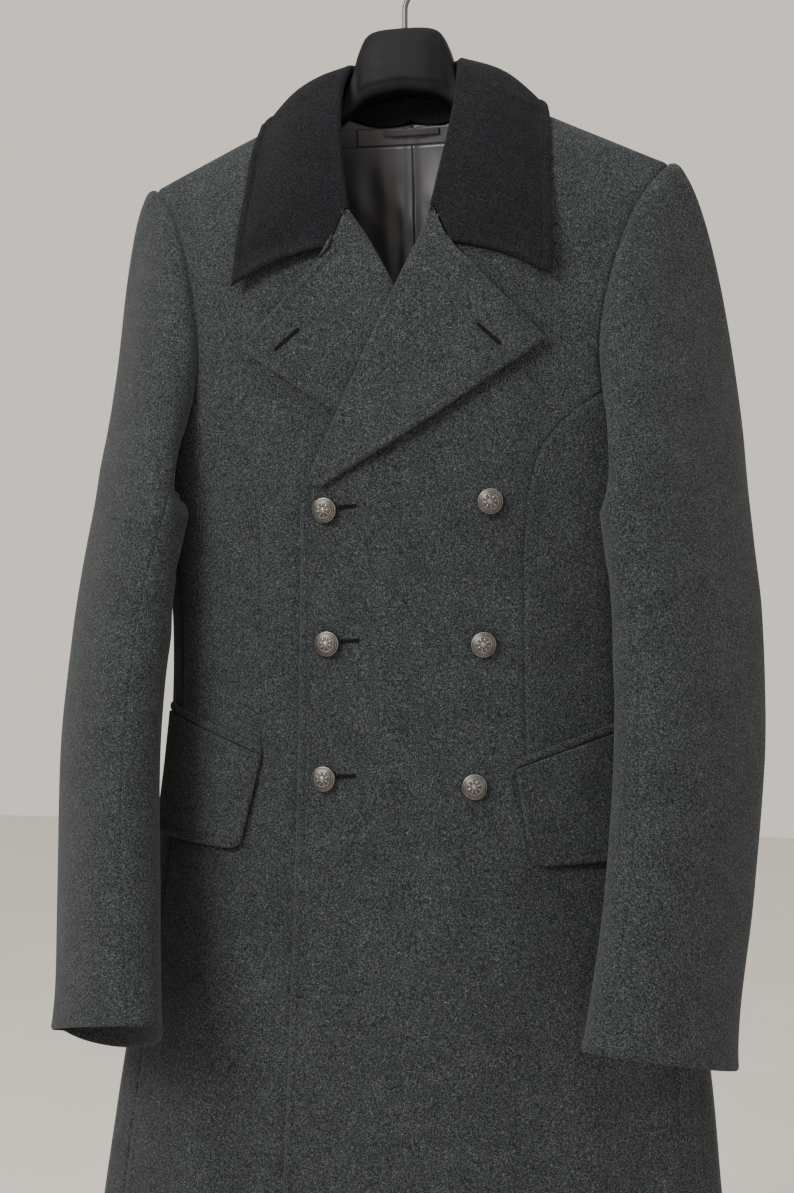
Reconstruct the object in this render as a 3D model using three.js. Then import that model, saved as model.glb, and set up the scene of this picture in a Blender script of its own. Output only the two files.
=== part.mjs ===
// A long double-breasted wool overcoat hanging on a broad-shouldered hanger.
// Millimetres, +Z up, the front faces -Y and +X is the wearer's left.
// The origin is the inside top of the hanger's hook, where a rail carries it.
import * as THREE from "three";

// Driving sizes of the cloth
const CLOTH = 2.5;
const DOUBLE_CLOTH = 3.2;
const LINING = 1.2;
const LINING_GAP = 0.9;
const SEAM_GAP = 0.3;

// Driving heights of the coat
const HEM_Z = -1290;
const POCKET_Z = -714;
const BREAK_Z = -490;
const UNDERARM_Z = -455;
const RIDGE_AT_CENTRE_Z = -101;
const SHOULDER_SLOPE = 0.4537;
const UPPER_SPAN = 350;

// Driving widths of the coat, from the centre line
const NECK_HALF = 75;
const SHOULDER_HALF = 229;
const SIDE_SEAM_TURN = THREE.MathUtils.degToRad(66);

// Body sections: half width, sideways shift, depth in front of and behind the hook
const BODY = [
  { z: -455, half: 235, shift: 0, front: 70, back: 46 },
  { z: -530, half: 220, shift: 0, front: 70, back: 44 },
  { z: -600, half: 213, shift: 0, front: 68, back: 42 },
  { z: -700, half: 217, shift: 1, front: 68, back: 42 },
  { z: -800, half: 230, shift: 3, front: 70, back: 43 },
  { z: -960, half: 255, shift: 4, front: 75, back: 46 },
  { z: -1090, half: 269, shift: 0, front: 80, back: 48 },
  { z: -1290, half: 292, shift: -2, front: 87, back: 52 },
];

// How the chest and the back round over to the shoulder ridge
const ROUND_OVER = { front: 2.2, back: 4 };
const BACK_FLATNESS = 0.75;

// Soft flutes of the skirt: turn round the body in degrees, width and depth at the hem
const FLUTES = [
  { turn: -128, width: 17, deep: 9 },
  { turn: -84, width: 15, deep: 8 },
  { turn: -47, width: 12, deep: 6 },
  { turn: -22, width: 9, deep: -3 },
  { turn: 28, width: 12, deep: 4 },
  { turn: 55, width: 11, deep: -4 },
  { turn: 88, width: 15, deep: 8 },
  { turn: 130, width: 17, deep: 9 },
  { turn: 160, width: 12, deep: -5 },
  { turn: -160, width: 12, deep: -5 },
];
const FLUTE_TOP_Z = -640;

// Outlines over the height: places across the front at each height
const OVER_EDGE = [
  { z: -1290, x: -96 },
  { z: -1070, x: -88 },
  { z: -742, x: -78 },
  { z: -530, x: -74 },
  { z: -490, x: -70 },
  { z: -425, x: -43 },
  { z: -313, x: 7 },
  { z: -243, x: 39 },
];
const UNDER_EDGE = [
  { z: -1290, x: 101 },
  { z: -742, x: 92 },
  { z: -490, x: 84 },
  { z: -425, x: 57 },
  { z: -313, x: 7 },
  { z: -243, x: -33 },
];
// The curved seam from the pocket to the armhole, by level
const PRINCESS = [
  { level: -1290, x: 132 },
  { level: -714, x: 116 },
  { level: -600, x: 114 },
  { level: -495, x: 116 },
  { level: -455, x: 125 },
  { level: -433, x: 137 },
  { level: -412, x: 153 },
  { level: -385, x: 180 },
];
const PRINCESS_TOP_SHARE = 0.2;

// Neckline and armholes, over the share of the way up from the underarm to the ridge
const FRONT_NECK = [
  { share: 0.632, x: 45 },
  { share: 0.75, x: 51 },
  { share: 0.86, x: 60 },
  { share: 0.94, x: 68 },
  { share: 1, x: NECK_HALF },
];
const NAPE_SHARE = 0.867;
const FRONT_ARMHOLE = [
  { share: 0, x: 215 },
  { share: 0.05, x: 203 },
  { share: 0.12, x: 189 },
  { share: 0.22, x: 179 },
  { share: 0.35, x: 176 },
  { share: 0.5, x: 181 },
  { share: 0.68, x: 192 },
  { share: 0.85, x: 208 },
  { share: 1, x: SHOULDER_HALF },
];
const BACK_ARMHOLE = [
  { share: 0, turn: 66 },
  { share: 0.015, turn: 82 },
  { share: 0.035, turn: 97 },
  { share: 0.06, turn: 107 },
  { share: 0.1, turn: 114 },
  { share: 0.15, turn: 118 },
  { share: 0.3, turn: 121 },
  { share: 0.5, turn: 121.7 },
  { share: 0.7, turn: 119.8 },
  { share: 0.87, turn: 114.4 },
  { share: 1, turn: 103 },
];

// The left front lies over the right one and its turned lapel
const OVERLAP = { low: 3.2, high: 8.7, topZ: -235, fullZ: -305, bottomZ: -475, lowZ: -540 };
const OVERLAP_ENDS = { from: 96, to: 146 };

// Sleeve sections: outer and inner silhouette, how far the front and back swell, and towards what turn
const SLEEVE = [
  { ox: 291.2, oy: 44, oz: -450, ix: 179.0, iy: -66, iz: -506, front: 56, frontTurn: 6, back: 18, backTurn: 28 },
  { ox: 297.6, oy: 36, oz: -530, ix: 185.0, iy: -74, iz: -545, front: 51, frontTurn: 18, back: 17, backTurn: 30 },
  { ox: 301.5, oy: 24, oz: -600, ix: 192.0, iy: -84, iz: -600, front: 49, frontTurn: 24, back: 24, backTurn: 31 },
  { ox: 303.6, oy: 2, oz: -700, ix: 195.7, iy: -104, iz: -700, front: 48, frontTurn: 26, back: 30, backTurn: 32 },
  { ox: 296.8, oy: -24, oz: -800, ix: 190.9, iy: -124, iz: -800, front: 46, frontTurn: 26, back: 33, backTurn: 31 },
  { ox: 288.8, oy: -57, oz: -900, ix: 179.9, iy: -143, iz: -892, front: 43, frontTurn: 24, back: 32, backTurn: 26 },
  { ox: 288.9, oy: -73, oz: -951, ix: 174.9, iy: -150, iz: -924, front: 42, frontTurn: 22, back: 32, backTurn: 24 },
];
// The sleeve head: which way and how far the cloth sets off from the armhole, by the place round it,
// and how long it falls towards the first section
const SLEEVE_HEAD = [
  { round: -0.1, x: 75, y: 32, z: 0, fall: 190 },
  { round: 0, x: 97, y: 6, z: 36, fall: 215 },
  { round: 0.12, x: 66, y: -58, z: 0, fall: 200 },
  { round: 0.3, x: 22, y: -66, z: -20, fall: 120 },
  { round: 0.42, x: -24, y: -66, z: -30, fall: 60 },
  { round: 0.5, x: 8, y: -50, z: -35, fall: 60 },
  { round: 0.6, x: 55, y: 25, z: -20, fall: 60 },
  { round: 0.75, x: 40, y: 42, z: -10, fall: 110 },
  { round: 0.9, x: 75, y: 32, z: 0, fall: 190 },
  { round: 1, x: 97, y: 6, z: 36, fall: 215 },
];
// How much lower a cuff hangs for each millimetre behind its corners, and higher in front of them
const CUFF_TILT = { left: { front: 0.14, back: 0.2 }, right: { front: 0.24, back: 0.75 } };
const SLEEVE_SEAMS = { crown: 0.06, front: 0.41, armpit: 0.7, back: 0.8 };

// Collar ribs from the gorge to the centre back: visible fold line, outer edge, swell of the fall
const COLLAR = [
  { at: 1, fx: 35, fy: -60, fz: -243, ex: 139, ey: -61, ez: -305, swell: 2 },
  { at: 0.86, fx: 41, fy: -54, fz: -212, ex: 138, ey: -56, ez: -268, swell: 5 },
  { at: 0.72, fx: 47, fy: -42, fz: -174, ex: 135, ey: -42, ez: -224, swell: 7 },
  { at: 0.6, fx: 50, fy: -27, fz: -138, ex: 131, ey: -22, ez: -178, swell: 8 },
  { at: 0.48, fx: 48, fy: -8, fz: -110, ex: 125, ey: 2, ez: -146, swell: 8 },
  { at: 0.34, fx: 44, fy: 16, fz: -101, ex: 103, ey: 34, ez: -158, swell: 7 },
  { at: 0.18, fx: 27, fy: 34, fz: -98, ex: 60, ey: 55, ez: -178, swell: 5 },
  { at: 0, fx: 0, fy: 41, fz: -97, ex: 0, ey: 60, ez: -183, swell: 4 },
];
// Where the gorge seam ends on the collar's front edge and on the lapel
const GORGE_END = { x: 53, z: -277, lift: 1 };
const GORGE_SHARE = 0.34;
const FOLD_RADIUS = 2.2;

// Lapel corners on the wearer's left, mirrored on the right
const LAPEL_TIP = { x: 129, z: -360 };
const LAPEL_TIP_SHARE = 0.3;
const LAPEL_LIFT = { over: 5, under: 4 };

// Pocket flaps, which hang a little unevenly, and the welt over each
const FLAP = {
  left: { topZ: -716, footZ: -796, frontTurn: 29, frontFootTurn: 30.5 },
  right: { topZ: -712, footZ: -790, frontTurn: 31.4, frontFootTurn: 35.5 },
  frontX: 109,
  topSlope: 0.34,
  rearTurn: 76,
  footRise: 10,
  corner: 9,
  cornerShare: 0.11,
  lift: 3.2,
};
const WELT = { height: 8, proud: 2.2 };

// Buttons: places on the over front and the profile of a domed shank button
const BUTTONS = [
  { name: "button_hole_1", x: -50, z: -499 },
  { name: "button_hole_2", x: -50, z: -612 },
  { name: "button_hole_3", x: -53, z: -726 },
  { name: "button_show_1", x: 86, z: -493 },
  { name: "button_show_2", x: 81, z: -612 },
  { name: "button_show_3", x: 74, z: -730 },
];
const BUTTON = { radius: 10.8, shank: 2.6, shankHeight: 2.4, rim: 1.4, dome: 4.2, sides: 16 };

// Hanger sections along its length: top, underside, half thickness, squareness
const HANGER = [
  { x: 0, top: -77, under: -133, thick: 19, square: 5 },
  { x: 22, top: -78, under: -136, thick: 18, square: 5 },
  { x: 33, top: -82, under: -139, thick: 15, square: 4 },
  { x: 40, top: -95, under: -143, thick: 12, square: 4 },
  { x: 46, top: -113, under: -148, thick: 11, square: 3.4 },
  { x: 55, top: -131, under: -154, thick: 11, square: 2.8 },
  { x: 75, top: -140, under: -170, thick: 12, square: 2.3 },
  { x: 110, top: -154.6, under: -190, thick: 12, square: 2 },
  { x: 160, top: -178, under: -214, thick: 11, square: 2 },
  { x: 200, top: -197, under: -230, thick: 10, square: 2 },
  { x: 214, top: -208, under: -228, thick: 8, square: 2 },
];
const HOOK = { wire: 2.4, bow: 22.4, tipTurn: 25, stemTop: -58, stemFoot: -76.6 };

// Colours read from the cloth, plastic and metal
const LOOKS = {
  wool: { color: 0x4a4f50, roughness: 0.95, metalness: 0 },
  collarWool: { color: 0x2c2f33, roughness: 0.97, metalness: 0 },
  satin: { color: 0x55555b, roughness: 0.45, metalness: 0 },
  plastic: { color: 0x1b1c20, roughness: 0.4, metalness: 0 },
  wire: { color: 0x2a2a2c, roughness: 0.4, metalness: 0.8 },
  pewter: { color: 0x9a958d, roughness: 0.4, metalness: 0.9 },
};

const coat = new THREE.Group();
const looks = Object.fromEntries(
  Object.entries(LOOKS).map(([name, look]) => [name, new THREE.MeshStandardMaterial(look)]),
);

const clamp01 = (v) => Math.min(1, Math.max(0, v));
const ease = (v, from, to) => {
  const t = clamp01((v - from) / (to - from));
  return t * t * (3 - 2 * t);
};
const mix = (a, b, t) => a + (b - a) * t;
const steps = (count) => Array.from({ length: count + 1 }, (_, i) => i / count);
const vec = (x, y, z) => new THREE.Vector3(x, y, z);

// Every column of a table at a place between its rows, on a smooth curve
function readTable(table, key, at) {
  const rising = table[1][key] > table[0][key];
  const rows = rising ? table : [...table].reverse();
  const last = rows.length - 1;
  const place = Math.min(rows[last][key], Math.max(rows[0][key], at));
  let i = 0;
  while (i < last - 1 && place > rows[i + 1][key]) i++;
  const width = rows[i + 1][key] - rows[i][key];
  const t = (place - rows[i][key]) / width;
  const value = {};
  for (const column of Object.keys(rows[0])) {
    const slope = (k) => {
      const before = rows[Math.max(0, k - 1)];
      const after = rows[Math.min(last, k + 1)];
      return (after[column] - before[column]) / (after[key] - before[key]);
    };
    const [a, b] = [rows[i][column], rows[i + 1][column]];
    const [ma, mb] = [slope(i) * width, slope(i + 1) * width];
    const [t2, t3] = [t * t, t * t * t];
    value[column] =
      a * (2 * t3 - 3 * t2 + 1) + ma * (t3 - 2 * t2 + t) + b * (3 * t2 - 2 * t3) + mb * (t3 - t2);
  }
  return value;
}

// Body surface. The turn is 0 at centre front and 90 degrees at the wearer's left side.
// The level is a height up to the underarm, and above it runs on to the shoulder ridge.
const ridgeZ = (x) => RIDGE_AT_CENTRE_Z - SHOULDER_SLOPE * Math.abs(x);
const levelOf = (share) => UNDERARM_Z + share * UPPER_SPAN;
const shareOf = (level) => clamp01((level - UNDERARM_Z) / UPPER_SPAN);
const levelAt = (x, z) =>
  z <= UNDERARM_Z ? z : levelOf((z - UNDERARM_Z) / (ridgeZ(x) - UNDERARM_Z));

function fluteDepth(turn, z) {
  const grow = ease(z, FLUTE_TOP_Z, HEM_Z);
  let depth = 0;
  for (const flute of FLUTES) {
    let off = THREE.MathUtils.radToDeg(turn) - flute.turn;
    off = ((off + 540) % 360) - 180;
    depth += flute.deep * Math.exp(-((off / flute.width) ** 2));
  }
  return depth * grow;
}

function overlapLift(x, z) {
  const across = 1 - ease(x, OVERLAP_ENDS.from, OVERLAP_ENDS.to);
  const high = OVERLAP.high * ease(z, OVERLAP.topZ, OVERLAP.fullZ);
  const lifted = mix(high, OVERLAP.low, ease(z, OVERLAP.bottomZ, OVERLAP.lowZ));
  return across * lifted;
}

function bodyPoint(turn, level, over = false, out = 0) {
  const ring = readTable(BODY, "z", Math.min(level, UNDERARM_Z));
  const [s, c] = [Math.sin(turn), Math.cos(turn)];
  const x = ring.shift + ring.half * s;
  const side = c >= 0 ? "front" : "back";
  const depth = c >= 0 ? -ring.front * c : ring.back * (-c) ** BACK_FLATNESS;
  const share = shareOf(level);
  const z = level <= UNDERARM_Z ? level : mix(UNDERARM_Z, ridgeZ(x), share);
  const round = Math.sqrt(Math.max(0, 1 - share ** ROUND_OVER[side]));
  const swell = out + fluteDepth(turn, z) + (over && c > 0 ? overlapLift(x, z) : 0);
  const apart = share * (c >= 0 ? -SEAM_GAP : SEAM_GAP) * 0.5;
  return vec(x + swell * s * round, depth * round - swell * c + apart, z);
}

// The turn at which the front, or the back, passes a place across the coat
function turnAt(x, level, back = false) {
  const ring = readTable(BODY, "z", Math.min(level, UNDERARM_Z));
  const turn = Math.asin(Math.max(-1, Math.min(1, (x - ring.shift) / ring.half)));
  return back ? Math.PI - turn : turn;
}

function surfaceNormal(surface, a, b, da, db) {
  const alongA = surface(a + da, b).sub(surface(a - da, b));
  const alongB = surface(a, b + db).sub(surface(a, b - db));
  return alongA.cross(alongB).normalize();
}

const TURN_STEP = 0.002;
const LEVEL_STEP = 0.6;
function bodyNormal(turn, level, over) {
  if (shareOf(level) >= 1) return vec(Math.sign(Math.sin(turn)) * SHOULDER_SLOPE, 0, 1).normalize();
  return surfaceNormal((t, l) => bodyPoint(t, l, over), turn, level, TURN_STEP, LEVEL_STEP);
}

// A point moved out from the body surface along its normal
function onBody(x, z, over, out, back = false) {
  const level = levelAt(x, z);
  const turn = turnAt(x, level, back);
  return bodyPoint(turn, level, over).addScaledVector(bodyNormal(turn, level, over), out);
}

// A closed wall between two grids of points. keep says which cells are cloth.
function wallGeometry(outer, inner, keep = () => true) {
  const [rows, columns] = [outer.length, outer[0].length];
  const kept = (r, c) => r >= 0 && c >= 0 && r < rows - 1 && c < columns - 1 && keep(r, c);
  const points = [];
  const numbers = new Map();
  const number = (face, r, c) => {
    const key = (face * rows + r) * columns + c;
    if (!numbers.has(key)) {
      numbers.set(key, points.length / 3);
      points.push(...(face ? inner : outer)[r][c].toArray());
    }
    return numbers.get(key);
  };
  const index = [];
  const quad = (a, b, c, d) => index.push(a, b, c, a, c, d);
  const rim = (r0, c0, r1, c1) =>
    quad(number(0, r1, c1), number(0, r0, c0), number(1, r0, c0), number(1, r1, c1));
  for (let r = 0; r < rows - 1; r++) {
    for (let c = 0; c < columns - 1; c++) {
      if (!kept(r, c)) continue;
      quad(number(0, r, c), number(0, r, c + 1), number(0, r + 1, c + 1), number(0, r + 1, c));
      quad(number(1, r, c), number(1, r + 1, c), number(1, r + 1, c + 1), number(1, r, c + 1));
      if (!kept(r - 1, c)) rim(r, c, r, c + 1);
      if (!kept(r, c + 1)) rim(r, c + 1, r + 1, c + 1);
      if (!kept(r + 1, c)) rim(r + 1, c + 1, r + 1, c);
      if (!kept(r, c - 1)) rim(r + 1, c, r, c);
    }
  }
  return facingOut(points, index);
}

function facingOut(points, index) {
  let volume = 0;
  const at = (i) => vec(...points.slice(3 * i, 3 * i + 3));
  for (let i = 0; i < index.length; i += 3) {
    const [a, b, c] = [at(index[i]), at(index[i + 1]), at(index[i + 2])];
    volume += a.dot(b.cross(c));
  }
  const turned = [...index];
  if (volume < 0) {
    for (let i = 0; i < index.length; i += 3) [turned[i + 1], turned[i + 2]] = [index[i + 2], index[i + 1]];
  }
  const geometry = new THREE.BufferGeometry();
  geometry.setAttribute("position", new THREE.Float32BufferAttribute(points, 3));
  geometry.setIndex(turned);
  geometry.computeVertexNormals();
  return geometry;
}

function addMesh(name, geometry, look) {
  const mesh = new THREE.Mesh(geometry, looks[look]);
  mesh.name = name;
  coat.add(mesh);
  return mesh;
}

// Even steps from one stop to the next
function columnsBetween(stops, counts) {
  const columns = [stops[0]];
  counts.forEach((count, i) => {
    for (const t of steps(count).slice(1)) columns.push(mix(stops[i], stops[i + 1], t));
  });
  return columns;
}

// A cloth panel on the body surface. stops are the turns of its column borders at a level.
function bodyPanel({ name, levels, stops, counts, over = false, wall = CLOTH, sink = 0, keep, look }) {
  const outer = [];
  const inner = [];
  for (const level of levels) {
    const rowOut = [];
    const rowIn = [];
    for (const turn of columnsBetween(stops(level), counts)) {
      const point = bodyPoint(turn, level, over);
      const normal = bodyNormal(turn, level, over);
      rowOut.push(point.clone().addScaledVector(normal, -sink));
      rowIn.push(point.clone().addScaledVector(normal, -sink - wall));
    }
    outer.push(rowOut);
    inner.push(rowIn);
  }
  addMesh(name, wallGeometry(outer, inner, keep), look);
}

// Levels from the hem to the shoulder
const LOWER_LEVELS = [-1290, -1200, -1110, -1020, -930, -850, -780, POCKET_Z];
const MIDDLE_LEVELS = [-660, -600, -545, -510, BREAK_Z, BREAK_Z + 7];
const SIDE_SHARES = [0, 0.04, 0.08, 0.12, 0.16, PRINCESS_TOP_SHARE];
const UPPER_SHARES = [0.3, 0.42, 0.54, 0.632, 0.72, 0.8, 0.87, 0.93, 0.97, 0.992, 1];
const ABOVE_BREAK = [...MIDDLE_LEVELS, ...[...SIDE_SHARES, ...UPPER_SHARES].map(levelOf)];
const seamTurn = SEAM_GAP / 2 / 230;

const mirrored = (side, turns) => (side > 0 ? turns : turns.map((t) => -t).reverse());

function frontEdgeX(edge, level) {
  const share = shareOf(level);
  const neckSide = edge === OVER_EDGE ? 1 : -1;
  if (share >= FRONT_NECK[0].share) return neckSide * readTable(FRONT_NECK, "share", share).x;
  const ridge = ridgeZ(readTable(edge, "z", level).x);
  const z = level > UNDERARM_Z ? mix(UNDERARM_Z, ridge, share) : level;
  return readTable(edge, "z", z).x;
}

// The cloth of a front ends a little before its roll line, where the lapel turns
const OUTER_FOLD = FOLD_RADIUS + DOUBLE_CLOTH / 2;
const ROLL_TRIM = 2;
const FRONT_TRIM = 1.09 * (OUTER_FOLD + ROLL_TRIM);

function seamTurns(level) {
  const share = shareOf(level);
  const armhole = turnAt(readTable(FRONT_ARMHOLE, "share", share).x, level);
  if (share >= PRINCESS_TOP_SHARE) return { princess: armhole, side: armhole + 0.01 };
  const princess = turnAt(readTable(PRINCESS, "level", level).x, level);
  return { princess, side: share > 0 ? armhole : SIDE_SEAM_TURN - seamTurn };
}

function buildFront(side) {
  const over = side > 0;
  const edge = over ? OVER_EDGE : UNDER_EDGE;
  const levels = [...LOWER_LEVELS, ...ABOVE_BREAK];
  const pocketRow = LOWER_LEVELS.length - 1;
  const counts = [10, 5];
  const stops = (level) => {
    const rolled = level > BREAK_Z && shareOf(level) < FRONT_NECK[0].share;
    const trim = rolled ? side * FRONT_TRIM : 0;
    const edgeTurn = side * turnAt(frontEdgeX(edge, level) + trim, level);
    const seams = seamTurns(level);
    return mirrored(side, [edgeTurn, seams.princess - seamTurn, seams.side]);
  };
  const sidePart = (r, c) => r >= pocketRow && (side > 0 ? c >= counts[0] : c < counts[1]);
  bodyPanel({
    name: over ? "front_left" : "front_right",
    levels,
    stops,
    counts: side > 0 ? counts : [...counts].reverse(),
    over,
    keep: (r, c) => !sidePart(r, c),
    look: "wool",
  });
}

function buildSidePanel(side) {
  const shares = [...SIDE_SHARES.slice(0, -1), PRINCESS_TOP_SHARE - 0.026];
  const levels = [POCKET_Z + SEAM_GAP, ...MIDDLE_LEVELS, ...shares.map(levelOf)];
  const stops = (level) => {
    const seams = seamTurns(level);
    return mirrored(side, [seams.princess + seamTurn, seams.side]);
  };
  bodyPanel({
    name: side > 0 ? "side_front_left" : "side_front_right",
    levels,
    stops,
    counts: [5],
    over: side > 0,
    look: "wool",
  });
}

const backNeckX = (share) => NECK_HALF * Math.sqrt(clamp01((share - NAPE_SHARE) / (1 - NAPE_SHARE)));

const backArmTurn = (share) => THREE.MathUtils.degToRad(readTable(BACK_ARMHOLE, "share", share).turn);

function backStops(side, level) {
  const share = shareOf(level);
  const start = backArmTurn(share) + seamTurn;
  const neck = share > NAPE_SHARE ? turnAt(backNeckX(share), level, true) : Math.PI;
  return mirrored(side, [start, Math.max(1.92, start + 0.12), neck - seamTurn]);
}

const BACK_SHARES = [
  0, 0.015, 0.035, 0.06, 0.1, 0.16, 0.3, 0.5, 0.65, 0.77, NAPE_SHARE, 0.885, 0.92, 0.96, 0.99, 1,
];
function buildBack(side) {
  const levels = [...LOWER_LEVELS, -660, -600, -545, -500, ...BACK_SHARES.map(levelOf)];
  bodyPanel({
    name: side > 0 ? "back_left" : "back_right",
    levels,
    stops: (level) => backStops(side, level),
    counts: [5, 5],
    look: "wool",
  });
}

// The lining shows inside the back, under a shallow yoke at the neck
const YOKE = { seamZ: -168, topZ: -153.5, half: 50 };
const LINING_CUT = { half: 165, footZ: -430, belowRidge: 14 };
function liningPiece(name, xs, heights) {
  const grid = (out) => heights.map((height) => xs.map((x) => onBody(x, height(x), false, out, true)));
  const set = CLOTH + LINING_GAP;
  addMesh(name, wallGeometry(grid(-set), grid(-set - LINING)), "satin");
}

function buildLining() {
  for (const side of [1, -1]) {
    const xs = steps(6).map((t) => side * mix(SEAM_GAP / 2, LINING_CUT.half, t));
    const top = (x) => Math.min(YOKE.seamZ - SEAM_GAP, ridgeZ(x) - LINING_CUT.belowRidge);
    const heights = steps(7).map((t) => (x) => mix(LINING_CUT.footZ, top(x), t));
    liningPiece(side > 0 ? "lining_back_left" : "lining_back_right", xs, heights);
  }
  const xs = steps(8).map((t) => mix(-YOKE.half, YOKE.half, t));
  const heights = steps(2).map((t) => () => mix(YOKE.seamZ, YOKE.topZ, t));
  liningPiece("lining_yoke", xs, heights);
}

// The armhole as a loop: from the shoulder tip down the front, under the arm and up the back.
// The sleeve's edge stands a seam gap off it, and more under the arm, where the loop turns sharply.
const ARMHOLE_GROW = { gap: 2 * SEAM_GAP, armpit: 3 };
function armholeLoop() {
  const samples = [];
  const add = (turn, level) => {
    samples.push({ point: bodyPoint(turn, level), normal: bodyNormal(turn, level) });
  };
  const frontShares = [...SIDE_SHARES, ...UPPER_SHARES];
  for (const share of [...frontShares].reverse()) {
    add(turnAt(readTable(FRONT_ARMHOLE, "share", share).x, levelOf(share)), levelOf(share));
  }
  for (const share of BACK_SHARES.slice(1)) add(backArmTurn(share), levelOf(share));
  const lengths = [0];
  for (let i = 1; i < samples.length; i++) {
    lengths.push(lengths[i - 1] + samples[i].point.distanceTo(samples[i - 1].point));
  }
  const middle = samples.reduce((sum, p) => sum.add(p.point), vec(0, 0, 0)).divideScalar(samples.length);
  const total = lengths[lengths.length - 1];
  return (round) => {
    const wanted = (((round % 1) + 1) % 1) * total;
    let i = 0;
    while (i < lengths.length - 2 && lengths[i + 1] < wanted) i++;
    const t = clamp01((wanted - lengths[i]) / (lengths[i + 1] - lengths[i]));
    const point = samples[i].point.clone().lerp(samples[i + 1].point, t);
    const normal = samples[i].normal.clone().lerp(samples[i + 1].normal, t).normalize();
    const inward = middle.clone().sub(point);
    const away = inward.clone().addScaledVector(normal, -inward.dot(normal)).normalize();
    const armpit = ease(round, 0.5, 0.6) * (1 - ease(round, 0.72, 0.8));
    const outer = point.addScaledVector(away, ARMHOLE_GROW.gap + ARMHOLE_GROW.armpit * armpit);
    const inside = middle.clone().add(vec(20, 0, 0)).sub(outer).normalize();
    return { outer, inner: outer.clone().addScaledVector(inside, CLOTH) };
  };
}

// Moves a point out until it is clear of the body by a distance, softly, and further at the sharp side
const CLEAR_SOFTNESS = 2;
const SIDE_EXTRA = { high: 4, turn: 0.5 };
const CLEAR_TOP_LEVEL = levelOf(0.3);
function clearOfBody(point, gap) {
  const level = levelAt(point.x, point.z);
  if (level > CLEAR_TOP_LEVEL) return point;
  const ring = readTable(BODY, "z", Math.min(level, UNDERARM_Z));
  const across = (point.x - ring.shift) / ring.half;
  const along = point.y < 0 ? -point.y / ring.front : -((point.y / ring.back) ** (1 / BACK_FLATNESS));
  const turn = Math.atan2(across, along);
  const normal = bodyNormal(turn, level);
  const off = point.clone().sub(bodyPoint(turn, level)).dot(normal);
  const fromSide = (Math.abs(turn) - Math.PI / 2) / SIDE_EXTRA.turn;
  const wanted = gap + SIDE_EXTRA.high * Math.exp(-(fromSide ** 2));
  if (off > wanted + CLEAR_SOFTNESS) return point;
  const near = Math.max(0, off - wanted + CLEAR_SOFTNESS);
  const soft = wanted + near ** 2 / (4 * CLEAR_SOFTNESS);
  return point.addScaledVector(normal, Math.max(off, soft) - off);
}

// Moves a point of the collar clear of the shoulders and the chest
function clearOfShoulders(point, gap) {
  const ridge = ridgeZ(point.x);
  if (point.z > ridge - 1) {
    point.z = Math.max(point.z, ridge + gap * 1.1);
    return point;
  }
  const level = levelAt(point.x, point.z);
  const turn = turnAt(point.x, level, point.y > 0);
  const normal = bodyNormal(turn, level, true);
  const off = point.clone().sub(bodyPoint(turn, level, true)).dot(normal);
  return off < gap ? point.addScaledVector(normal, gap - off) : point;
}

// One section of the sleeve at a level number, from the table
function sleeveRing(k, round, tilt) {
  const row = SLEEVE[k];
  const outerSide = vec(row.ox, row.oy, row.oz);
  const innerSide = vec(row.ix, row.iy, row.iz);
  const centre = outerSide.clone().add(innerSide).multiplyScalar(0.5);
  const angle = round * 2 * Math.PI;
  const [c, s] = [Math.cos(angle), Math.sin(angle)];
  const turn = THREE.MathUtils.degToRad(s >= 0 ? row.frontTurn : row.backTurn);
  const swell = s >= 0 ? row.front : row.back;
  const across = outerSide.sub(centre).multiplyScalar(c);
  const forward = vec(Math.sin(turn), -Math.cos(turn), 0);
  const point = centre.clone().add(across).addScaledVector(forward, swell * s);
  const cuffShare = ease(k, SLEEVE.length - 3.5, SLEEVE.length - 1);
  point.z -= cuffShare * swell * s * -(s >= 0 ? tilt.front : tilt.back) * Math.cos(turn);
  return point;
}

// Long soft ridge down the sleeve, deepest at the elbow
const HEAD_SPAN = 3;
const SLEEVE_RIDGE = { round: 0.07, width: 0.05, high: 4 };

function sleevePoint(loop, round, v, tilt) {
  if (v < HEAD_SPAN) return sleeveHeadPoint(loop, round, v / HEAD_SPAN, tilt);
  const last = SLEEVE.length - 1;
  const at = (k) => sleeveRing(k, round, tilt);
  const k = Math.min(Math.floor(v - HEAD_SPAN), last - 1);
  const t = v - HEAD_SPAN - k;
  const [b, c] = [at(k), at(k + 1)];
  const a = k > 0 ? at(k - 1) : b.clone().multiplyScalar(2).sub(c);
  const d = k + 2 <= last ? at(k + 2) : c.clone().multiplyScalar(2).sub(b);
  const [t2, t3] = [t * t, t * t * t];
  const blend = (p, q, r, s) =>
    0.5 * (2 * q + (r - p) * t + (2 * p - 5 * q + 4 * r - s) * t2 + (3 * q - p - 3 * r + s) * t3);
  const point = vec(blend(a.x, b.x, c.x, d.x), blend(a.y, b.y, c.y, d.y), blend(a.z, b.z, c.z, d.z));
  return point.add(sleeveRidge(round, v - HEAD_SPAN));
}

function sleeveHeadPoint(loop, round, t, tilt) {
  const start = loop(round).outer;
  const end = sleeveRing(0, round, tilt);
  const fall = sleeveRing(1, round, tilt).sub(end).normalize();
  const head = readTable(SLEEVE_HEAD, "round", ((round + 0.05) % 1 + 1) % 1 - 0.05);
  const [t2, t3] = [t * t, t * t * t];
  return start
    .multiplyScalar(2 * t3 - 3 * t2 + 1)
    .addScaledVector(vec(head.x, head.y, head.z), t3 - 2 * t2 + t)
    .addScaledVector(end, 3 * t2 - 2 * t3)
    .addScaledVector(fall, (t3 - t2) * head.fall);
}

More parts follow.
